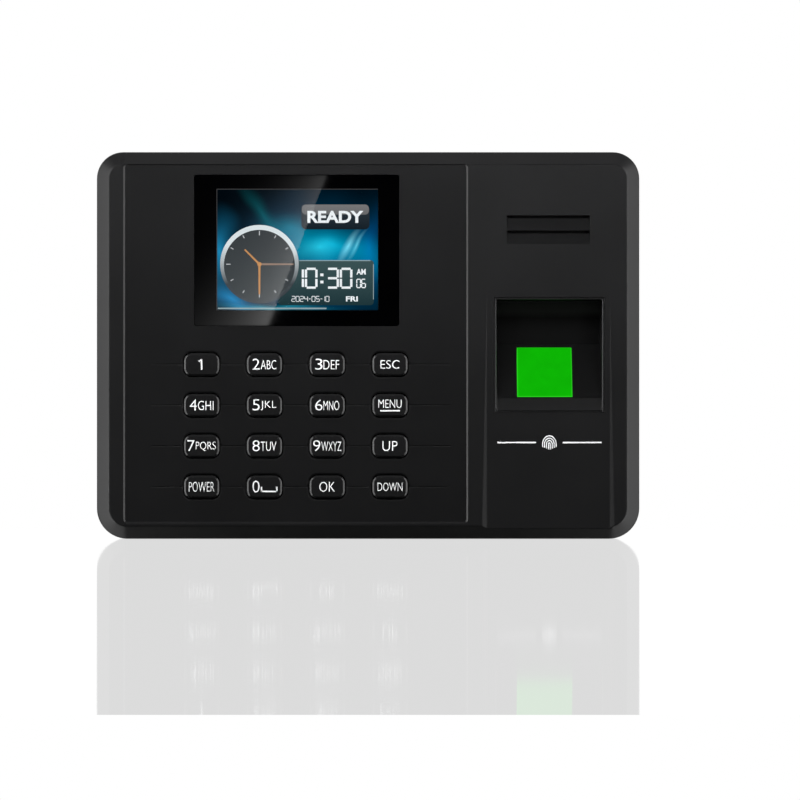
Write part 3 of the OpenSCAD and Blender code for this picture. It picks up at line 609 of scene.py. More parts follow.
def lens():
    """The polished window: a clear middle in a black border."""
    bm = bmesh.new()
    centre = ((LENS_LO.x + LENS_HI.x) / 2, (LENS_LO.z + LENS_HI.z) / 2)
    size = (LENS_HI.x - LENS_LO.x, LENS_HI.z - LENS_LO.z)
    window_size = (PICTURE_W + 0.5 * MM, PICTURE_H + 0.5 * MM)
    window = rounded_outline((PICTURE_X, PICTURE_Z), window_size, 0.2 * MM)
    round_in = 0.12 * MM

    def edge(inset):
        return rounded_outline(centre, (size[0] - 2 * inset, size[1] - 2 * inset), 0.8 * MM - inset)

    loops = [
        front_loop(window, LENS_LO.y),
        front_loop(edge(round_in), LENS_LO.y),
        front_loop(edge(round_in * 0.3), LENS_LO.y + round_in * 0.3),
        front_loop(edge(0), LENS_LO.y + round_in),
        front_loop(edge(0), LENS_HI.y),
        front_loop(window, LENS_HI.y),
    ]
    rings = loft(bm, loops, cap=False)
    for ring in (rings[0], rings[-1]):
        bm.faces.new(ring).material_index = 1
    piece = from_bmesh("fine_display_lens", bm, lens_black(), clear_glass(), smooth=False)
    place(piece, HOUSING, "lens", "display_lens")


def at_picture(x, z):
    """A place on the picture, in millimetres from its middle."""
    return (PICTURE_X + x * MM, PICTURE_Z + z * MM)


def level(n):
    """The front of a sheet that lies some layers before the screen."""
    return SCREEN_LO.y - n * LAYER


def on_screen(name, bm, material):
    place(from_bmesh(name, bm, material, smooth=False), HOUSING, "display")


def sheet(name, outline, n, material):
    """A thin flat piece that lies some layers before the screen."""
    bm = bmesh.new()
    prism(bm, outline, level(n), LAYER)
    on_screen(name, bm, material)


def lines(name, n, ends, material):
    """Straight lines by their ends and width in millimetres, some layers before the screen."""
    bm = bmesh.new()
    for start, end, width in ends:
        bar(bm, at_picture(*start), at_picture(*end), width * MM, level(n), LAYER)
    on_screen(name, bm, material)


def picture():
    """What the display shows: a light pattern, a clock, a status badge and a time panel."""
    whole = rounded_outline(at_picture(0, 0), (PICTURE_W, PICTURE_H), 0.05 * MM, 1)
    sheet("screen_background", whole, 1, picture_background())
    clock()
    badge()
    time_panel()
    screen_text()
    screen_edge_painted_light()


def clock():
    """A clock with a shaded ring, twelve marks and three hands."""
    x, z = CLOCK_AT
    centre = at_picture(x, z)
    inner = at_picture(x, z - 0.4)
    r = 13.6 * MM
    bm = bmesh.new()
    band(bm, circle_outline(centre, r, 72), circle_outline(inner, r - 1.3 * MM, 72), level(4), LAYER)
    ring_shade = fade("clock_ring", (0.05, 0.06, 0.07), (0.75, 0.82, 0.85), -12, 2)
    on_screen("screen_clock_ring", bm, ring_shade)
    face_shade = fade("clock_face", (0.05, 0.06, 0.065), (0.04, 0.047, 0.052), -17, 7)
    sheet("screen_clock_face", circle_outline(inner, r - 1.1 * MM, 72), 3, face_shade)
    marks = []
    for hour in range(12):
        way = toward(math.tau * hour / 12)
        inside, outside = (10.0 if hour % 3 == 0 else 10.4), 11.5
        marks.append((Vector(CLOCK_AT) + way * inside, Vector(CLOCK_AT) + way * outside, 0.3))
    lines("screen_clock_marks", 4, marks, lit("clock_marks", (0.6, 0.62, 0.65), 0.9))
    second_orange = lit("second_hand", (0.36, 0.24, 0.18), 0.8)
    clock_hands("screen_second_hand", centre, [(90, 11.8, 0.7)], second_orange)
    orange = lit("clock_hands", (0.62, 0.3, 0.11), 0.9)
    clock_hands("screen_clock_hands", centre, [(315, 7.2, 0.7), (180, 10.4, 0.75)], orange)


def clock_hands(name, centre, hands, material):
    """Hands by turn from 12 o'clock in degrees, and by length and width in millimetres."""
    bm = bmesh.new()
    for turn, reach, width in hands:
        tip = Vector(centre) + toward(math.radians(90 - turn)) * reach * MM
        bar(bm, Vector(centre), tip, width * MM, level(5), LAYER, end_width=width * 0.75 * MM)
    prism(bm, circle_outline(centre, 0.75 * MM, 24), level(6), LAYER)
    on_screen(name, bm, material)


def toward(angle):
    return Vector((math.cos(angle), math.sin(angle)))


def badge():
    """The status badge and the pale sheen on its upper half."""
    whole = rounded_outline(at_picture(*BADGE_AT), (23.6 * MM, 8.7 * MM), 1.6 * MM)
    sheet("screen_badge", whole, 2, fade("badge", (0.008, 0.015, 0.022), (0.02, 0.03, 0.04), 7, 12))
    upper = rounded_outline(at_picture(13.1, 13.9), (23.2 * MM, 3.5 * MM), 1.4 * MM)
    sheet("screen_badge_top", upper, 3, fade("badge_top", (0.13, 0.135, 0.14), (0.2, 0.2, 0.205), 11, 16))


def time_panel():
    """The panel behind the time, with pale lines along its edges and the picture's foot."""
    left, right, low, top = -6.7, 26.4, -19.2, -3.6
    middle = at_picture((left + right) / 2, (low + top) / 2)
    outline = rounded_outline(middle, ((right - left) * MM, (top - low) * MM), 1.2 * MM)
    panel_shade = fade("time_panel", (0.012, 0.035, 0.042), (0.05, 0.095, 0.1), -20, -3)
    sheet("screen_time_panel", outline, 2, panel_shade)
    edges = (
        ((0.6, top - 0.15), (right - 1.2, top - 0.15), 0.3),
        ((right - 0.15, top - 1.4), (right - 0.15, low + 2), 0.25),
        ((-27.6, -20.3), (10, -20.3), 0.5),
    )
    lines("screen_panel_edge", 3, edges, lit("panel_edge", (0.3, 0.4, 0.42), 1.0))


def screen_text():
    """The words by middle, and the digits by lower left corner, with height and width."""
    bm = bmesh.new()
    for text, at, height, width, bold in (
        ("READY", BADGE_AT, 4.2, 19.4, 0.035),
        ("AM", (22.0, -7.6), 2.0, 3.2, 0.03),
        ("FRI", (18.8, -17.0), 1.8, 4.1, 0.03),
    ):
        lettering(bm, text, at_picture(*at), height * MM, level(5), LAYER, width * MM, bold)
    for text, start, height, width in (
        ("10:30", (0.4, -13.1), 6.5, 18.2),
        ("06", (20.5, -13.1), 2.9, 3.0),
        ("2024-05-10", (-2.0, -17.9), 1.8, 12.9),
    ):
        segment_text(bm, text, at_picture(*start), width * MM, height * MM, level(5), LAYER)
    on_screen("screen_text", bm, lit("screen_text", (0.9, 0.95, 0.98), 1.0))


def screen_edge_painted_light():
    """The screen's own edge, seen as a dim line above and left of the picture; its lit look is painted
    light, a faint glow.
    """
    right, top = PICTURE_W / 2 / MM, PICTURE_H / 2 / MM
    out, width = 0.12, 0.26
    edges = (
        ((-right, top + out), (right, top + out), width),
        ((-right - out, -top), (-right - out, top + 0.25), width),
    )
    # Painted light: the edge glows faintly instead of being lit
    lines("screen_edge_painted_light", 4, edges, lit("screen_edge_painted_light", (0.1, 0.1, 0.105), 0.5))


SEGMENTS = {
    "0": "abcdef", "1": "bc", "2": "abged", "3": "abgcd", "4": "fgbc", "5": "afgcd", "6": "afgedc",
    "-": "g",
}


def segment_text(bm, text, start, total_w, height, y, depth):
    """Seven-segment characters of one total width from a lower left corner."""
    shares = {":": 0.45, "1": 0.4, "-": 0.7}
    space = 0.3
    units = sum(shares.get(c, 1) for c in text) + space * (len(text) - 1)
    unit = total_w / units
    stroke = min(height * 0.12, unit * 0.3)
    x, z = start
    half = height / 2
    for character in text:
        width = unit * shares.get(character, 1)
        if character == ":":
            for up in (0.3, 0.68):
                middle = Vector((x + width / 2, z + height * up))
                aside = Vector((stroke * 0.7, 0))
                bar(bm, middle - aside, middle + aside, stroke * 1.2, y, depth)
        ends = {
            "a": ((0, height), (width, height)), "b": ((width, half), (width, height)),
            "c": ((width, 0), (width, half)), "d": ((0, 0), (width, 0)), "e": ((0, 0), (0, half)),
            "f": ((0, half), (0, height)), "g": ((0, half), (width, half)),
        }
        for name in SEGMENTS.get(character, ""):
            a, b = (Vector((x + p, z + q)) for p, q in ends[name])
            short = (b - a).normalized() * stroke * 0.3
            bar(bm, a + short, b - short, stroke, y, depth)
        x += width + unit * space


# ---------------------------------------------------------------- keys

def key_cap(node):
    """One key: a cap with a chamfered rim, its flange and the contact pill."""
    lo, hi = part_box(node)
    centre = ((lo.x + hi.x) / 2, (lo.z + hi.z) / 2)
    size = (hi.x - lo.x - 2 * KEY_FLANGE, hi.z - lo.z - 2 * KEY_FLANGE)
    top = lo.y + 0.02 * MM
    chamfer = [(0.72, 0), (0.64, 0.015), (0.58, 0.05), (0.08, 0.47), (0.02, 0.55), (0, 0.66)]
    flange_y = lo.y + KEY_CAP_DEPTH
    flange_t = 1 * MM
    pill_r = 2.5 * MM
    corner_steps = 8

    def outline(inset, size=size, arch=0.3 * MM):
        inner = (size[0] - 2 * inset, size[1] - 2 * inset)
        return rounded_outline(centre, inner, KEY_R - inset, corner_steps, arch)

    loops = [front_loop(outline(inset * MM), top + back * MM) for inset, back in chamfer]
    wide = (size[0] + 2 * KEY_FLANGE, size[1] + 2 * KEY_FLANGE)
    flange = outline(0, wide, 0)
    tight = outline(0.1 * MM, wide, 0)
    middle = Vector(centre)
    pill = [middle + (Vector(p) - middle).normalized() * pill_r for p in outline(0, arch=0)]
    loops += [
        front_loop(outline(0), flange_y),
        front_loop(tight, flange_y),
        front_loop(flange, flange_y + 0.1 * MM),
        front_loop(flange, flange_y + flange_t - 0.1 * MM),
        front_loop(tight, flange_y + flange_t),
        front_loop(pill, flange_y + flange_t),
        front_loop(pill, hi.y - 0.1 * MM),
        front_loop([middle + (p - middle) * 0.96 for p in pill], hi.y),
    ]
    bm = bmesh.new()
    loft(bm, loops)
    return flatten_normals(from_bmesh("fine_" + node, bm, KEY_BLACK)), centre, lo.y + 0.004 * MM


def legend(node, centre, y):
    """The printed marks on a key, placed in millimetres from its middle."""
    big, small = LEGENDS[node]
    bm = bmesh.new()

    def at(across, up):
        return (centre[0] + across * MM, centre[1] + up * MM)

    def letters(text, across, up, height, width):
        lettering(bm, text, at(across, up), height * MM, y, LEGEND_DEPTH, width * MM, LEGEND_BOLD)

    def line(start, end, width):
        bar(bm, at(*start), at(*end), width * MM, y, LEGEND_DEPTH)

    if big and small:
        digit_w, gap, letters_w = 2.5, 0.35, LETTERS_WIDTHS[len(small)]
        left = -(digit_w + gap + letters_w) / 2
        letters(big, left + digit_w / 2, 0.1, 3.8, digit_w)
        letters(small, left + digit_w + gap + letters_w / 2, -0.1, 3.2, letters_w)
    elif node == "key_0":
        letters("0", -2.9, 0.1, 4.1, 2.5)
        corners = [Vector(p) for p in ((-1.0, -0.2), (-1.0, -1.6), (4.3, -1.6), (4.3, -0.2))]
        for start, end in zip(corners, corners[1:]):
            way = (end - start).normalized() * 0.25
            line(start - way, end + way, 0.5)
    elif big:
        line((0, -1.8), (0, 1.8), 0.54)
        line((-0.95, 1.0), (-0.1, 1.7), 0.5)
    elif node == "key_menu":
        letters(small, 0, 0.5, 2.9, WORD_WIDTHS[small])
        line((-3.4, -1.9), (3.4, -1.9), 0.45)
    else:
        letters(small, 0, 0, 3.4 if small in ("UP", "OK", "POWER") else 2.9, WORD_WIDTHS[small])
    return from_bmesh("legend_" + node, bm, WHITE_INK, smooth=False)


def keypad():
    for node in LEGENDS:
        body = node + "_body"
        cap, centre, y = key_cap(node)
        place(cap, body, "key", node)
        place(legend(node, centre, y), body, "key")


# ---------------------------------------------------------------- finger sensor

def pocket_wall_painted_light():
    """The pocket's back wall: dull, painted dark low down where the lamps reach it and painted light
    towards its shaded top.
    """
    low, high = (0.0023, 0.0023, 0.0024), (0.07, 0.07, 0.072)
    f = Finish("pocket_painted_light_and_shade", low, 0.45, Specular_IOR_Level=0.3)
    # Painted light: the colour turns pale across the band where the wall's top falls into shade
    height = f.spread(f.along(f.coords, "Z"), 0.0, 1.0, *WALL_PAINTED_LIGHT)
    f.link(f.ramp(height, low, high, 0.0, 1.0), "Base Color")
    f.bump(f.noise(0.16 * MM, 2), 0.3, 0.012 * MM)
    return f.material


def bezel_edge_width(p):
    """The pocket's inner edges are chamfered; the outer ones and the lip's foot stay crisp."""
    slack = 0.1 * MM
    inner = POCKET_LEFT - slack < p.x < POCKET_RIGHT + slack and p.z < POCKET_TOP + slack
    if p.y > PANEL + 16 * MM or p.z < LIP_FOOT or not inner:
        return 0.02 * MM
    return 0.3 * MM if p.y < FRONT + 2 * MM else 0.1 * MM


def sensor_bezel(slope):
    """The lining of the finger pocket."""
    bezel = refined("sensor_bezel", BEZEL_BLACK, bezel_edge_width, steps=1)
    for material in (
        # Painted shade: the window's surround, which tilts up into the lamps' light, is a darker copy of
        # the bezel black
        moulded("window_surround_painted_shade", (0.0036, 0.0036, 0.0037), 0.3, grain=0.2, depth=0.004),
        # Painted shade: the lip's front faces below the window get a darker copy of the bezel black
        moulded("bezel_lip_painted_shade", (0.0062, 0.0062, 0.0064), 0.34),
        # The back wall, with painted shade low down and painted light at its shaded top
        pocket_wall_painted_light(),
        # Painted highlight: the pocket's front chamfers get a much paler copy of the bezel black so they
        # read as bright lines
        moulded("bezel_edge_painted_highlight", (0.05, 0.05, 0.052), 0.26),
    ):
        bezel.data.materials.append(material)
    for face in bezel.data.polygons:
        normal, middle = face.normal, face.center
        if normal.dot(slope) > 0.999:
            face.material_index = 1
        elif normal.y < -0.9 and middle.z < WINDOW_LO.z:
            face.material_index = 2
        elif normal.y < -0.9 and middle.y > FRONT + 3 * MM:
            face.material_index = 3
        elif 0.3 < abs(normal.x) < 0.95 and middle.y < FRONT + 1 * MM:
            face.material_index = 4
    place(bezel, HOUSING, "bezel", "sensor_bezel")


def sensor_window(slope):
    """The green-lit window, its rim glowing a little brighter: a painted highlight on its own green light.
    """
    dark = (0.0, 0.02, 0.0)
    glass = lit("sensor_green", (0.004, 0.42, 0.0015), 1.0, dark, variation=0.05, rough=0.12, specular=0.3)
    # Painted highlight: the rim's faces glow brighter than the window's face
    rim = lit("sensor_green_painted_rim_highlight", (0.02, 0.6, 0.012), 1.0, dark, rough=0.12)
    window = refined("sensor_prism", glass, lambda p: 0.3 * MM)
    window.data.materials.append(rim)
    for face in window.data.polygons:
        face.material_index = 0 if abs(face.normal.dot(slope)) > 0.999 else 1
    place(window, HOUSING, "sensor_window", "sensor_prism")


def sensor():
    slope = Vector((0, -math.cos(WINDOW_TILT), math.sin(WINDOW_TILT)))
    sensor_bezel(slope)
    sensor_window(slope)


def front_surface():
    """A function that gives the depth of the front housing's surface at a place of the front view."""
    mesh = frame["nodes"]["front_housing"].data
    tree = BVHTree.FromPolygons([v.co for v in mesh.vertices], [p.vertices for p in mesh.polygons])

    def depth_at(x, z):
        return tree.ray_cast(Vector((x, FRONT - 0.01, z)), Vector((0, 1, 0)))[0].y

    return depth_at


def finger_mark():
    """A printed finger symbol between two thin lines, below the pocket."""
    proud, sunk = 0.01 * MM, 0.02 * MM
    middle_x = (BEZEL_LO.x + BEZEL_HI.x) / 2
    middle_z = -33.6 * MM
    bm = bmesh.new()
    for side in (-1, 1):
        start, end = ((middle_x + side * reach * MM, middle_z) for reach in (4.6, 18.0))
        bar(bm, start, end, 0.5 * MM, 0, proud + sunk)
    steps, stroke, ridge_pitch, stretch = 16, 0.32 * MM, 0.68 * MM, 1.2
    turns = [math.pi * k / steps for k in range(steps + 1)]
    for i in range(4):
        leg = (1.9 - 0.3 * i) * MM
        middle_r = 0.3 * MM + ridge_pitch * i
        sides = []
        for r in (middle_r + stroke / 2, middle_r - stroke / 2):
            arch = [(r * math.cos(t), r * stretch * math.sin(t)) for t in turns]
            sides.append([(r, -leg)] + arch + [(-r, -leg)])
        outline = sides[0] + sides[1][::-1]
        ridge = [(middle_x + x, middle_z - 0.5 * MM + z) for x, z in outline]
        rings = [[bm.verts.new(p) for p in front_loop(ridge, where)] for where in (0, proud + sunk)]
        strip_faces(bm, rings, len(ridge) // 2)
    depth_at = front_surface()
    for vertex in bm.verts:
        vertex.co.y += depth_at(vertex.co.x, vertex.co.z) - proud
    place(from_bmesh("finger_mark", bm, WHITE_INK, smooth=False), HOUSING, "housing")


def strip_faces(bm, rings, half):
    """Closes a bent strip whose outline runs out along one side and back along the other."""
    for ring in rings:
        for i in range(half - 1):
            bm.faces.new((ring[i], ring[i + 1], ring[-2 - i], ring[-1 - i]))
    skin(bm, *rings)


# ---------------------------------------------------------------- screws, plate and sockets

def solids(node):
    """The points of each separate solid of a CAD node."""
    bm = bmesh.new()
    bm.from_mesh(frame["nodes"][node].data)
    bmesh.ops.remove_doubles(bm, verts=bm.verts, dist=WELD)
    bm.verts.index_update()
    seen = set()
    found = []
    for start in bm.verts:
        if start.index in seen:
            continue
        seen.add(start.index)
        stack, points = [start], []
        while stack:
            vertex = stack.pop()
            points.append(vertex.co.copy())
            for edge in vertex.link_edges:
                other = edge.other_vert(vertex)
                if other.index not in seen:
                    seen.add(other.index)
                    stack.append(other)
        found.append(points)
    bm.free()
    return found


def turned_profile(points, axis, centre):
    """Height and radius of each ring of a turned solid, from its tip to its head."""
    across = [i for i in range(3) if i != axis]
    rings = {}
    for p in points:
        r = math.hypot(p[across[0]] - centre[0], p[across[1]] - centre[1])
        rings.setdefault(round(p[axis], 6), set()).add(round(r, 5))
    profile = []
    for height in sorted(rings):
        last = profile[-1][1] if profile else min(rings[height])
        profile += [(height, r) for r in sorted(rings[height], key=lambda r: abs(r - last))]
    return profile if profile[-1][1] > profile[0][1] else profile[::-1]


def cross_reach(off_axis, arm, half_w):
    """How far a cross recess reaches at an angle from its nearest arm."""
    if abs(math.sin(off_axis)) < 1e-6:
        return arm
    return min(arm / math.cos(off_axis), half_w / abs(math.sin(off_axis)))


def shank_rings(tip, seat, r):
    """Height and radius of each ring of a ridged shank."""
    way = 1 if seat > tip else -1
    pitch = 0.7 * r
    rings = [(tip, 0.55 * r)]
    for i in range(int((abs(seat - tip) - r) / pitch)):
        start = tip + way * pitch * (i + 0.7)
        rings += [(start, 0.82 * r), (start + way * pitch * 0.4, r), (start + way * pitch * 0.5, r)]
    return rings + [(seat - way * 0.2 * pitch, 0.82 * r), (seat, 0.82 * r)]


def head_rings(seat, top, r, recess):
    """Height and radius of each ring of a rounded head, down into its cross recess."""
    way = 1 if top > seat else -1
    head_t = abs(top - seat)
    rounding = 0.35 * head_t
    rings = [(seat, r)]
    for i in range(5):
        turn = math.radians(22.5 * i)
        rings.append((top - way * rounding * (1 - math.sin(turn)), r - rounding * (1 - math.cos(turn))))
    return rings + [(top, recess), (top - way * 0.55 * head_t, lambda off: 0.7 * recess(off))]


def screw(bm, points, axis):
    """A screw with a ridged shank, a rounded head and a cross recess."""
    across = [i for i in range(3) if i != axis]
    centre = [(min(p[i] for p in points) + max(p[i] for p in points)) / 2 for i in across]
    profile = turned_profile(points, axis, centre)
    (tip, shank_r), (seat, _), (top, head_r) = profile[0], profile[-2], profile[-1]
    arm, half_w = 0.62 * head_r, 0.17 * head_r
    corner = math.atan(half_w / arm)
    wide, middling = math.radians(45), math.radians(30)
    offsets = [-wide, -middling, -corner, -corner / 2, 0, corner / 2, corner, middling]
    angles = [(math.pi / 2 * quarter + off, off) for quarter in range(4) for off in offsets]

    def recess(off):
        return cross_reach(off, arm, half_w)

    def ring(height, radius):
        loop = []
        for angle, off in angles:
            r = radius(off) if callable(radius) else radius
            p = [0.0, 0.0, 0.0]
            p[axis] = height
            p[across[0]] = centre[0] + r * math.cos(angle)
            p[across[1]] = centre[1] + r * math.sin(angle)
            loop.append(p)
        return loop

    rings = shank_rings(tip, seat, shank_r) + head_rings(seat, top, head_r, recess)
    loft(bm, [ring(height, radius) for height, radius in rings])


def screws():
    steel = metal("screw_steel", (0.55, 0.56, 0.58), 0.28, size=0.2)
    for node in ("housing_screws", "keypad_screws", "board_screws", "sensor_screws", "lock_screw"):
        body, axis = (WALL_MOUNT, 2) if node == "lock_screw" else (HOUSING, 1)
        bm = bmesh.new()
        for points in solids(node):
            screw(bm, points, axis)
        place(from_bmesh("fine_" + node, bm, steel), body, "screw_steel", node)


def strip(bm, x, width, path, thickness):
    """A thin flat strip; its path is given in depth and height."""
    left, right = x - width / 2, x + width / 2
    loft(bm, [
        [(left, y, z), (right, y, z), (right, y + thickness, z), (left, y + thickness, z)]
        for y, z in path
    ])


def recolour(piece, lo, hi, material):
    """Gives another finish to the faces inside a box."""
    margin = 0.02 * MM
    piece.data.materials.append(material)
    index = len(piece.data.materials) - 1
    for face in piece.data.polygons:
        if all(lo[i] - margin < face.center[i] < hi[i] + margin for i in range(3)):
            face.material_index = index


def network_socket(tin, plastic, gold):
    lo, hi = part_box("network_jack")
    x = (lo.x + hi.x) / 2
    mouth_lo = (x - 5.9 * MM, lo.y + 2 * MM, lo.z + 0.3 * MM)
    mouth_hi = (x + 5.9 * MM, hi.y - 1.2 * MM, lo.z + 13 * MM)
    shell = refined("network_jack", tin, lambda p: 0.12 * MM)
    recolour(shell, mouth_lo, mouth_hi, plastic)
    place(shell, HOUSING, "socket_steel", "network_jack")
    bends = ((2.05, 1.6), (2.25, 2.6), (4.45, 8), (4.75, 12.9))
    path = [(lo.y + back * MM, lo.z + up * MM) for back, up in bends]
    bm = bmesh.new()
    for i in range(8):
        strip(bm, x + (i - 3.5) * 1.02 * MM, 0.45 * MM, path, 0.25 * MM)
    place(from_bmesh("network_contacts", bm, gold), HOUSING, "socket_steel")


def usb_socket(tin, plastic, gold):
    lo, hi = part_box("usb_port")
    x = (lo.x + hi.x) / 2
    tongue = lo.y + 3.4 * MM
    tongue_lo = (lo.x + 1 * MM, lo.y + 1.6 * MM, lo.z + 2 * MM)
    tongue_hi = (hi.x - 1 * MM, tongue, hi.z - 1 * MM)
    shell = refined("usb_port", tin, lambda p: 0.06 * MM)
    recolour(shell, tongue_lo, tongue_hi, plastic)
    place(shell, HOUSING, "socket_steel", "usb_port")
    path = [(tongue, lo.z + 2.8 * MM), (tongue, lo.z + 10.5 * MM)]
    bm = bmesh.new()
    for offset in (-3.5, -1.0, 1.0, 3.5):
        strip(bm, x + offset * MM, 1.1 * MM, path, 0.1 * MM)
    place(from_bmesh("usb_contacts", bm, gold), HOUSING, "socket_steel")


def power_socket(tin, plastic):
    lo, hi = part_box("power_jack")
    x, y, reach = (lo.x + hi.x) / 2, lo.y + 5.5 * MM, 1.15 * MM
    shell = refined("power_jack", plastic, lambda p: 0.12 * MM)
    recolour(shell, (x - reach, y - reach, lo.z + 0.9 * MM), (x + reach, y + reach, hi.z), tin)
    place(shell, HOUSING, "connector_black", "power_jack")


def sockets():
    tin = metal("socket_tin", (0.66, 0.66, 0.68), 0.24)
    plastic = moulded("socket_black", (0.015, 0.015, 0.015), 0.4)
    gold = metal("contact_gold", (0.85, 0.6, 0.22), 0.2, size=0.2)
    network_socket(tin, plastic, gold)
    usb_socket(tin, plastic, gold)
    power_socket(tin, plastic)


def mounting():
    steel = metal("zinc_plate", (0.5, 0.51, 0.53), 0.38)
    plate = refined("wall_plate", steel, lambda p: 0.15 * MM)
    place(plate, WALL_MOUNT, "sheet_steel", "wall_plate")
    pale = moulded("button_pale", (0.6, 0.57, 0.47), 0.45)
    button = refined("reset_button", pale, lambda p: 0.1 * MM)
    place(button, RESET_BODY, "connector_pale", "reset_button")


# ---------------------------------------------------------------- stage

CAMERA_LENS = 250.0
FRAME_W = 276.5 * MM
AIM = Vector((11.06 * MM, 0, -18.9 * MM))
SENSOR_W = 36.0
CAMERA_AWAY = FRAME_W * CAMERA_LENS / SENSOR_W


def camera():
    data = bpy.data.cameras.new("camera")
    data.lens = CAMERA_LENS
    data.sensor_width = SENSOR_W
    data.clip_start = 0.05
    data.clip_end = 50
    piece = bpy.data.objects.new("camera", data)
    bpy.context.scene.collection.objects.link(piece)
    piece.location = (AIM.x, FRONT - CAMERA_AWAY, AIM.z)
    piece.rotation_euler = (math.pi / 2, 0, 0)
    bpy.context.scene.camera = piece


def bare_material(name):
    """A material whose node tree is still empty, with its builder."""
    material = bpy.data.materials.new(name)
    builder = Nodes(material)
    builder.tree.nodes.clear()
    return material, builder


def glow_material(name, strength):
    material, n = bare_material(name)
    emission = n.add("ShaderNodeEmission", {"Strength": strength})
    n.add("ShaderNodeOutputMaterial", {"Surface": emission.outputs[0]})
    return material


ONE_FACE = ((0, 1, 2, 3),)


def surface(name, corners, material, faces=ONE_FACE):
    """A flat stage piece."""
    mesh = bpy.data.meshes.new(name)
    mesh.from_pydata(corners, [], faces)
    piece = add_object(name, mesh, material)
    return piece


def hide(piece, *rays):
    """Hides a piece from kinds of rays."""
    for ray in rays:
        setattr(piece, "visible_" + ray, False)


def card(name, corners, material, faces=ONE_FACE):
    """A card that only shows in reflections."""
    piece = surface(name, corners, material, faces)
    hide(piece, "camera", "diffuse", "transmission", "volume_scatter", "shadow")


def rectangle(reach, first, last):
    """The corners of a rectangle, from reach left to reach right of the middle."""
    return [(-reach, *first), (reach, *first), (reach, *last), (-reach, *last)]


def side_card(side, name, start, end, front_y, back_y, strength):
    """A strip of an arc round the object, by angle below the horizontal."""
    radius = 0.7
    steps = 12
    corners = []
    for i in range(steps + 1):
        angle = math.radians(start + (end - start) * i / steps)
        x, z = side * radius * math.cos(angle), -radius * math.sin(angle)
        corners += [(x, front_y, z), (x, back_y, z)]
    faces = [(2 * i, 2 * i + 1, 2 * i + 3, 2 * i + 2) for i in range(steps)]
    card(name, corners, glow_material(name, strength), faces)


def glare_card():
    """The slanted card that the lens mirrors: brighter to its lower right."""
    places = ((-14.3, 58.9), (-34.6, 6.7), (-62, 6), (-62, 60))
    corners = [(2 * x * MM - AIM.x, FRONT - CAMERA_AWAY, 2 * z * MM - AIM.z) for x, z in places]
    (top_right, _, top), (right, _, low) = corners[:2]
    material, n = bare_material("glare")
    at = n.add("ShaderNodeNewGeometry").outputs["Position"]
    up = n.math("SUBTRACT", n.along(at, "Z"), low)
    edge = n.math("ADD", n.math("MULTIPLY", up, (top_right - right) / (top - low)), right)
    from_edge = n.math("SUBTRACT", edge, n.along(at, "X"))
    # The glow dies away from its slanted edge, and does so faster and is weaker higher up
    steepness = n.math("SUBTRACT", -48.0, n.math("MULTIPLY", up, 260.0))
    fall = n.math("EXPONENT", n.math("MULTIPLY", from_edge, steepness))
    height = n.math("SUBTRACT", 2.75, n.math("MULTIPLY", up, 15.5))
    emission = n.add("ShaderNodeEmission", {"Strength": n.math("MULTIPLY", fall, height)})
    n.add("ShaderNodeOutputMaterial", {"Surface": emission.outputs[0]})
    card("glare_card", corners, material)


def line_card(side, name):
    """A dim upright strip at the front, which draws fine lines along rounded edges."""
    angle = math.radians(30)
    away, half_w, reach = 0.9, 0.08, 0.3
    middle = Vector((side * away * math.sin(angle), FRONT - away * math.cos(angle), 0))
    across = Vector((math.cos(angle), side * math.sin(angle), 0)) * half_w
    signs = ((-1, -1), (1, -1), (1, 1), (-1, 1))
    corners = [middle + across * i + Vector((0, 0, reach * j)) for i, j in signs]
    card(name, corners, glow_material(name, 1.0))


def area_light(name, location, target, size, power):
    """A light that no polished face mirrors."""
    data = bpy.data.lights.new(name, "AREA")
    data.shape = "RECTANGLE"
    data.size, data.size_y = size
    data.energy = power
    piece = bpy.data.objects.new(name, data)
    bpy.context.scene.collection.objects.link(piece)
    piece.location = location
    way = Vector(target) - Vector(location)
    piece.rotation_euler = way.to_track_quat("-Z", "Y").to_euler()
    hide(piece, "camera", "transmission", "glossy")


def world():
    """White to the camera; for everything else a grey room that is dark behind the camera."""
    room = bpy.data.worlds.new("room")
    bpy.context.scene.world = room
    n = Nodes(room)
    n.tree.nodes.clear()
    way = n.add("ShaderNodeTexCoord").outputs["Generated"]
    by_depth = n.spread(n.along(way, "Y"), 0.0, 0.42, -0.5, 1.0)
    by_height = n.spread(n.along(way, "Z"), 0.08, 1.0, -0.5, 0.2)
    grey = n.add("ShaderNodeBackground", {"Strength": n.math("MULTIPLY", by_depth, by_height)})
    white = n.add("ShaderNodeBackground", {"Color": (1, 1, 1, 1)})
    seen = n.add("ShaderNodeLightPath").outputs["Is Camera Ray"]
    n.add("ShaderNodeOutputWorld", {"Surface": n.blend(seen, grey.outputs[0], white.outputs[0])})


def floor_material():
    """White, with a polish that fades out sideways and behind, and clear from below."""
    material, n = bare_material("floor")
    geometry = n.add("ShaderNodeNewGeometry").outputs
    sideways = n.math("ABSOLUTE", n.along(geometry["Position"], "X"))
    back = n.along(geometry["Position"], "Y")
    polish = 0.29
    share = n.math(
        "MULTIPLY",
        n.spread(sideways, polish, 0.0, 0.12, 0.22, interpolation_type="SMOOTHSTEP"),
        n.spread(back, 1.0, 0.0, 0.02, 0.12, interpolation_type="SMOOTHSTEP"),
    )
    own = n.add("ShaderNodeEmission").outputs[0]
    gloss = n.add("ShaderNodeBsdfGlossy", {"Roughness": 0.04}).outputs[0]
    clear = n.add("ShaderNodeBsdfTransparent").outputs[0]
    surface = n.blend(geometry["Backfacing"], n.blend(share, own, gloss), clear)
    n.add("ShaderNodeOutputMaterial", {"Surface": surface})
    return material


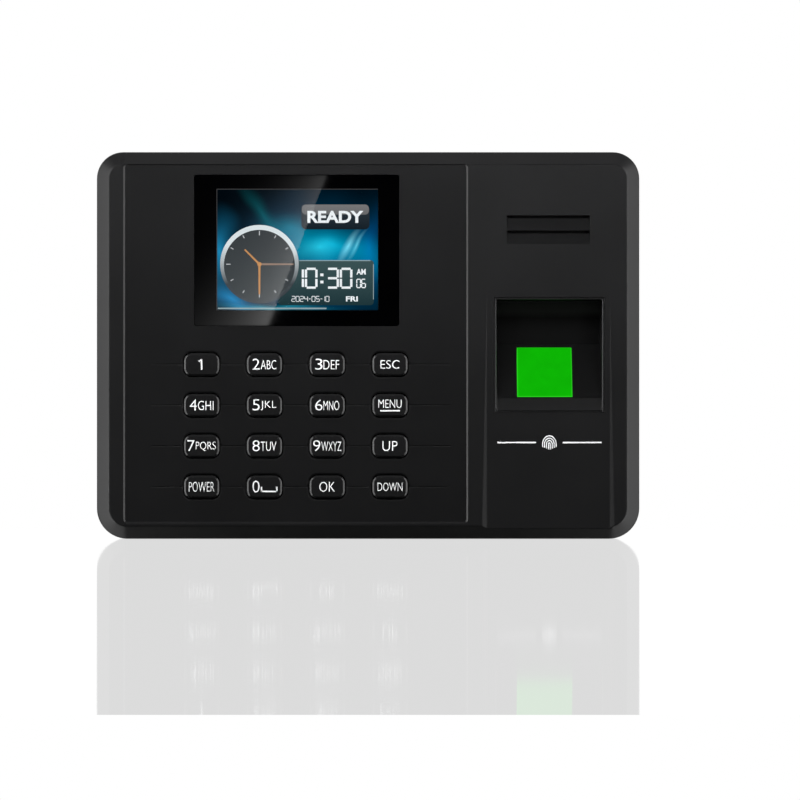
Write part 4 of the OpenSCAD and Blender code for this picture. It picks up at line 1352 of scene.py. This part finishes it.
def floor():
    """A pale polished floor that mirrors the terminal faintly, as far as its near edge."""
    near_y, far_y = -1.1065, 2.9
    corners = rectangle(4.0, (near_y, cad_lo.z), (far_y, cad_lo.z))
    hide(surface("floor", corners, floor_material()), "glossy", "diffuse", "shadow")


def backdrop():
    """A white wall far behind, which only the floor's polish shows."""
    y, top = 3.0, 0.4
    card("backdrop", rectangle(1.5, (y, cad_lo.z), (y, top)), glow_material("backdrop", 1.3))


def lights():
    split_y, back_y = FRONT - 0.02, 0.3
    for side, name, strength in ((-1, "left", 4.2), (1, "right", 3.4)):
        side_card(side, name + "_low_card", 0, 77, split_y, back_y, 1.05)
        side_card(side, name + "_card", -35, 0, split_y, back_y, 0.8)
        side_card(side, name + "_high_card", -70, -35, split_y, back_y, 0.08)
        side_card(side, name + "_edge_card", -45, 45, FRONT - 0.22, split_y, strength)
        line_card(side, name + "_line_card")
    glare_card()
    area_light("front_high", (0.0, -0.28, 0.17), (0, 0, 0.08), (0.5, 0.1), 2.3)
    area_light("overhead", (0.0, -0.2, 1.2), (0, 0, 0), (1.6, 1.6), 2.5)
    area_light("front_fill", (0.0, -1.5, 0.0), (0, 0, 0), (1.0, 1.0), 0.9)
    area_light("behind", (0.3, 1.2, 0.9), (0, 0, 0), (1.2, 0.8), 11)
    area_light("below_behind", (-0.3, 0.8, -0.9), (0, 0, 0), (1.0, 0.8), 12)


def stage():
    camera()
    world()
    floor()
    backdrop()
    lights()
    bpy.context.scene.view_settings.view_transform = "Standard"


# ---------------------------------------------------------------- CAD nodes that stay

def plain_nodes():
    """Finishes for the CAD nodes whose shape is right as it is."""
    finishes = [
        (metal("tin_plate", (0.62, 0.63, 0.65), 0.32), ["display_frame"]),
        (metal("nickel", (0.7, 0.7, 0.71), 0.16, size=0.8), ["coin_cell"]),
        (metal("battery_foil", (0.5, 0.53, 0.56), 0.35, size=1.5, strength=0.3), ["backup_battery"]),
        (circuit_board(), ["keypad_board", "main_board", "sensor_light_board", "sensor_camera_board"]),
        (moulded("chip_black", (0.02, 0.02, 0.02), 0.55, grain=0.1, depth=0.01),
         ["board_chips", "reset_switch", "sensor_camera", "speaker"]),
        (moulded("connector_black", (0.015, 0.015, 0.015), 0.4),
         ["keypad_header", "coin_cell_holder", "sensor_chamber", "lens_tape", "display_panel"]),
        (moulded("connector_pale", (0.6, 0.57, 0.47), 0.45), ["board_connectors"]),
        (moulded("silicone", (0.16, 0.18, 0.21), 0.6, grain=0.3), ["keypad_mat"]),
        (moulded("flex_film", (0.5, 0.24, 0.05), 0.25, grain=0.5), ["display_flex", "sensor_flex"]),
        (moulded("wire_red", (0.45, 0.03, 0.02), 0.4), ["speaker_leads"]),
        (moulded("light_guide", (0.8, 0.81, 0.79), 0.3), ["display_backlight"]),
        (foam(), ["display_gasket", "speaker_gasket"]),
        (lit("lamp_green", (0.1, 0.8, 0.05), 1.5), ["sensor_leds"]),
    ]
    for material, nodes in finishes:
        for node in nodes:
            for slot in frame["nodes"][node].material_slots:
                slot.material = material


stage()
plain_nodes()
housings()
lens()
picture()
keypad()
sensor()
finger_mark()
screws()
sockets()
mounting()
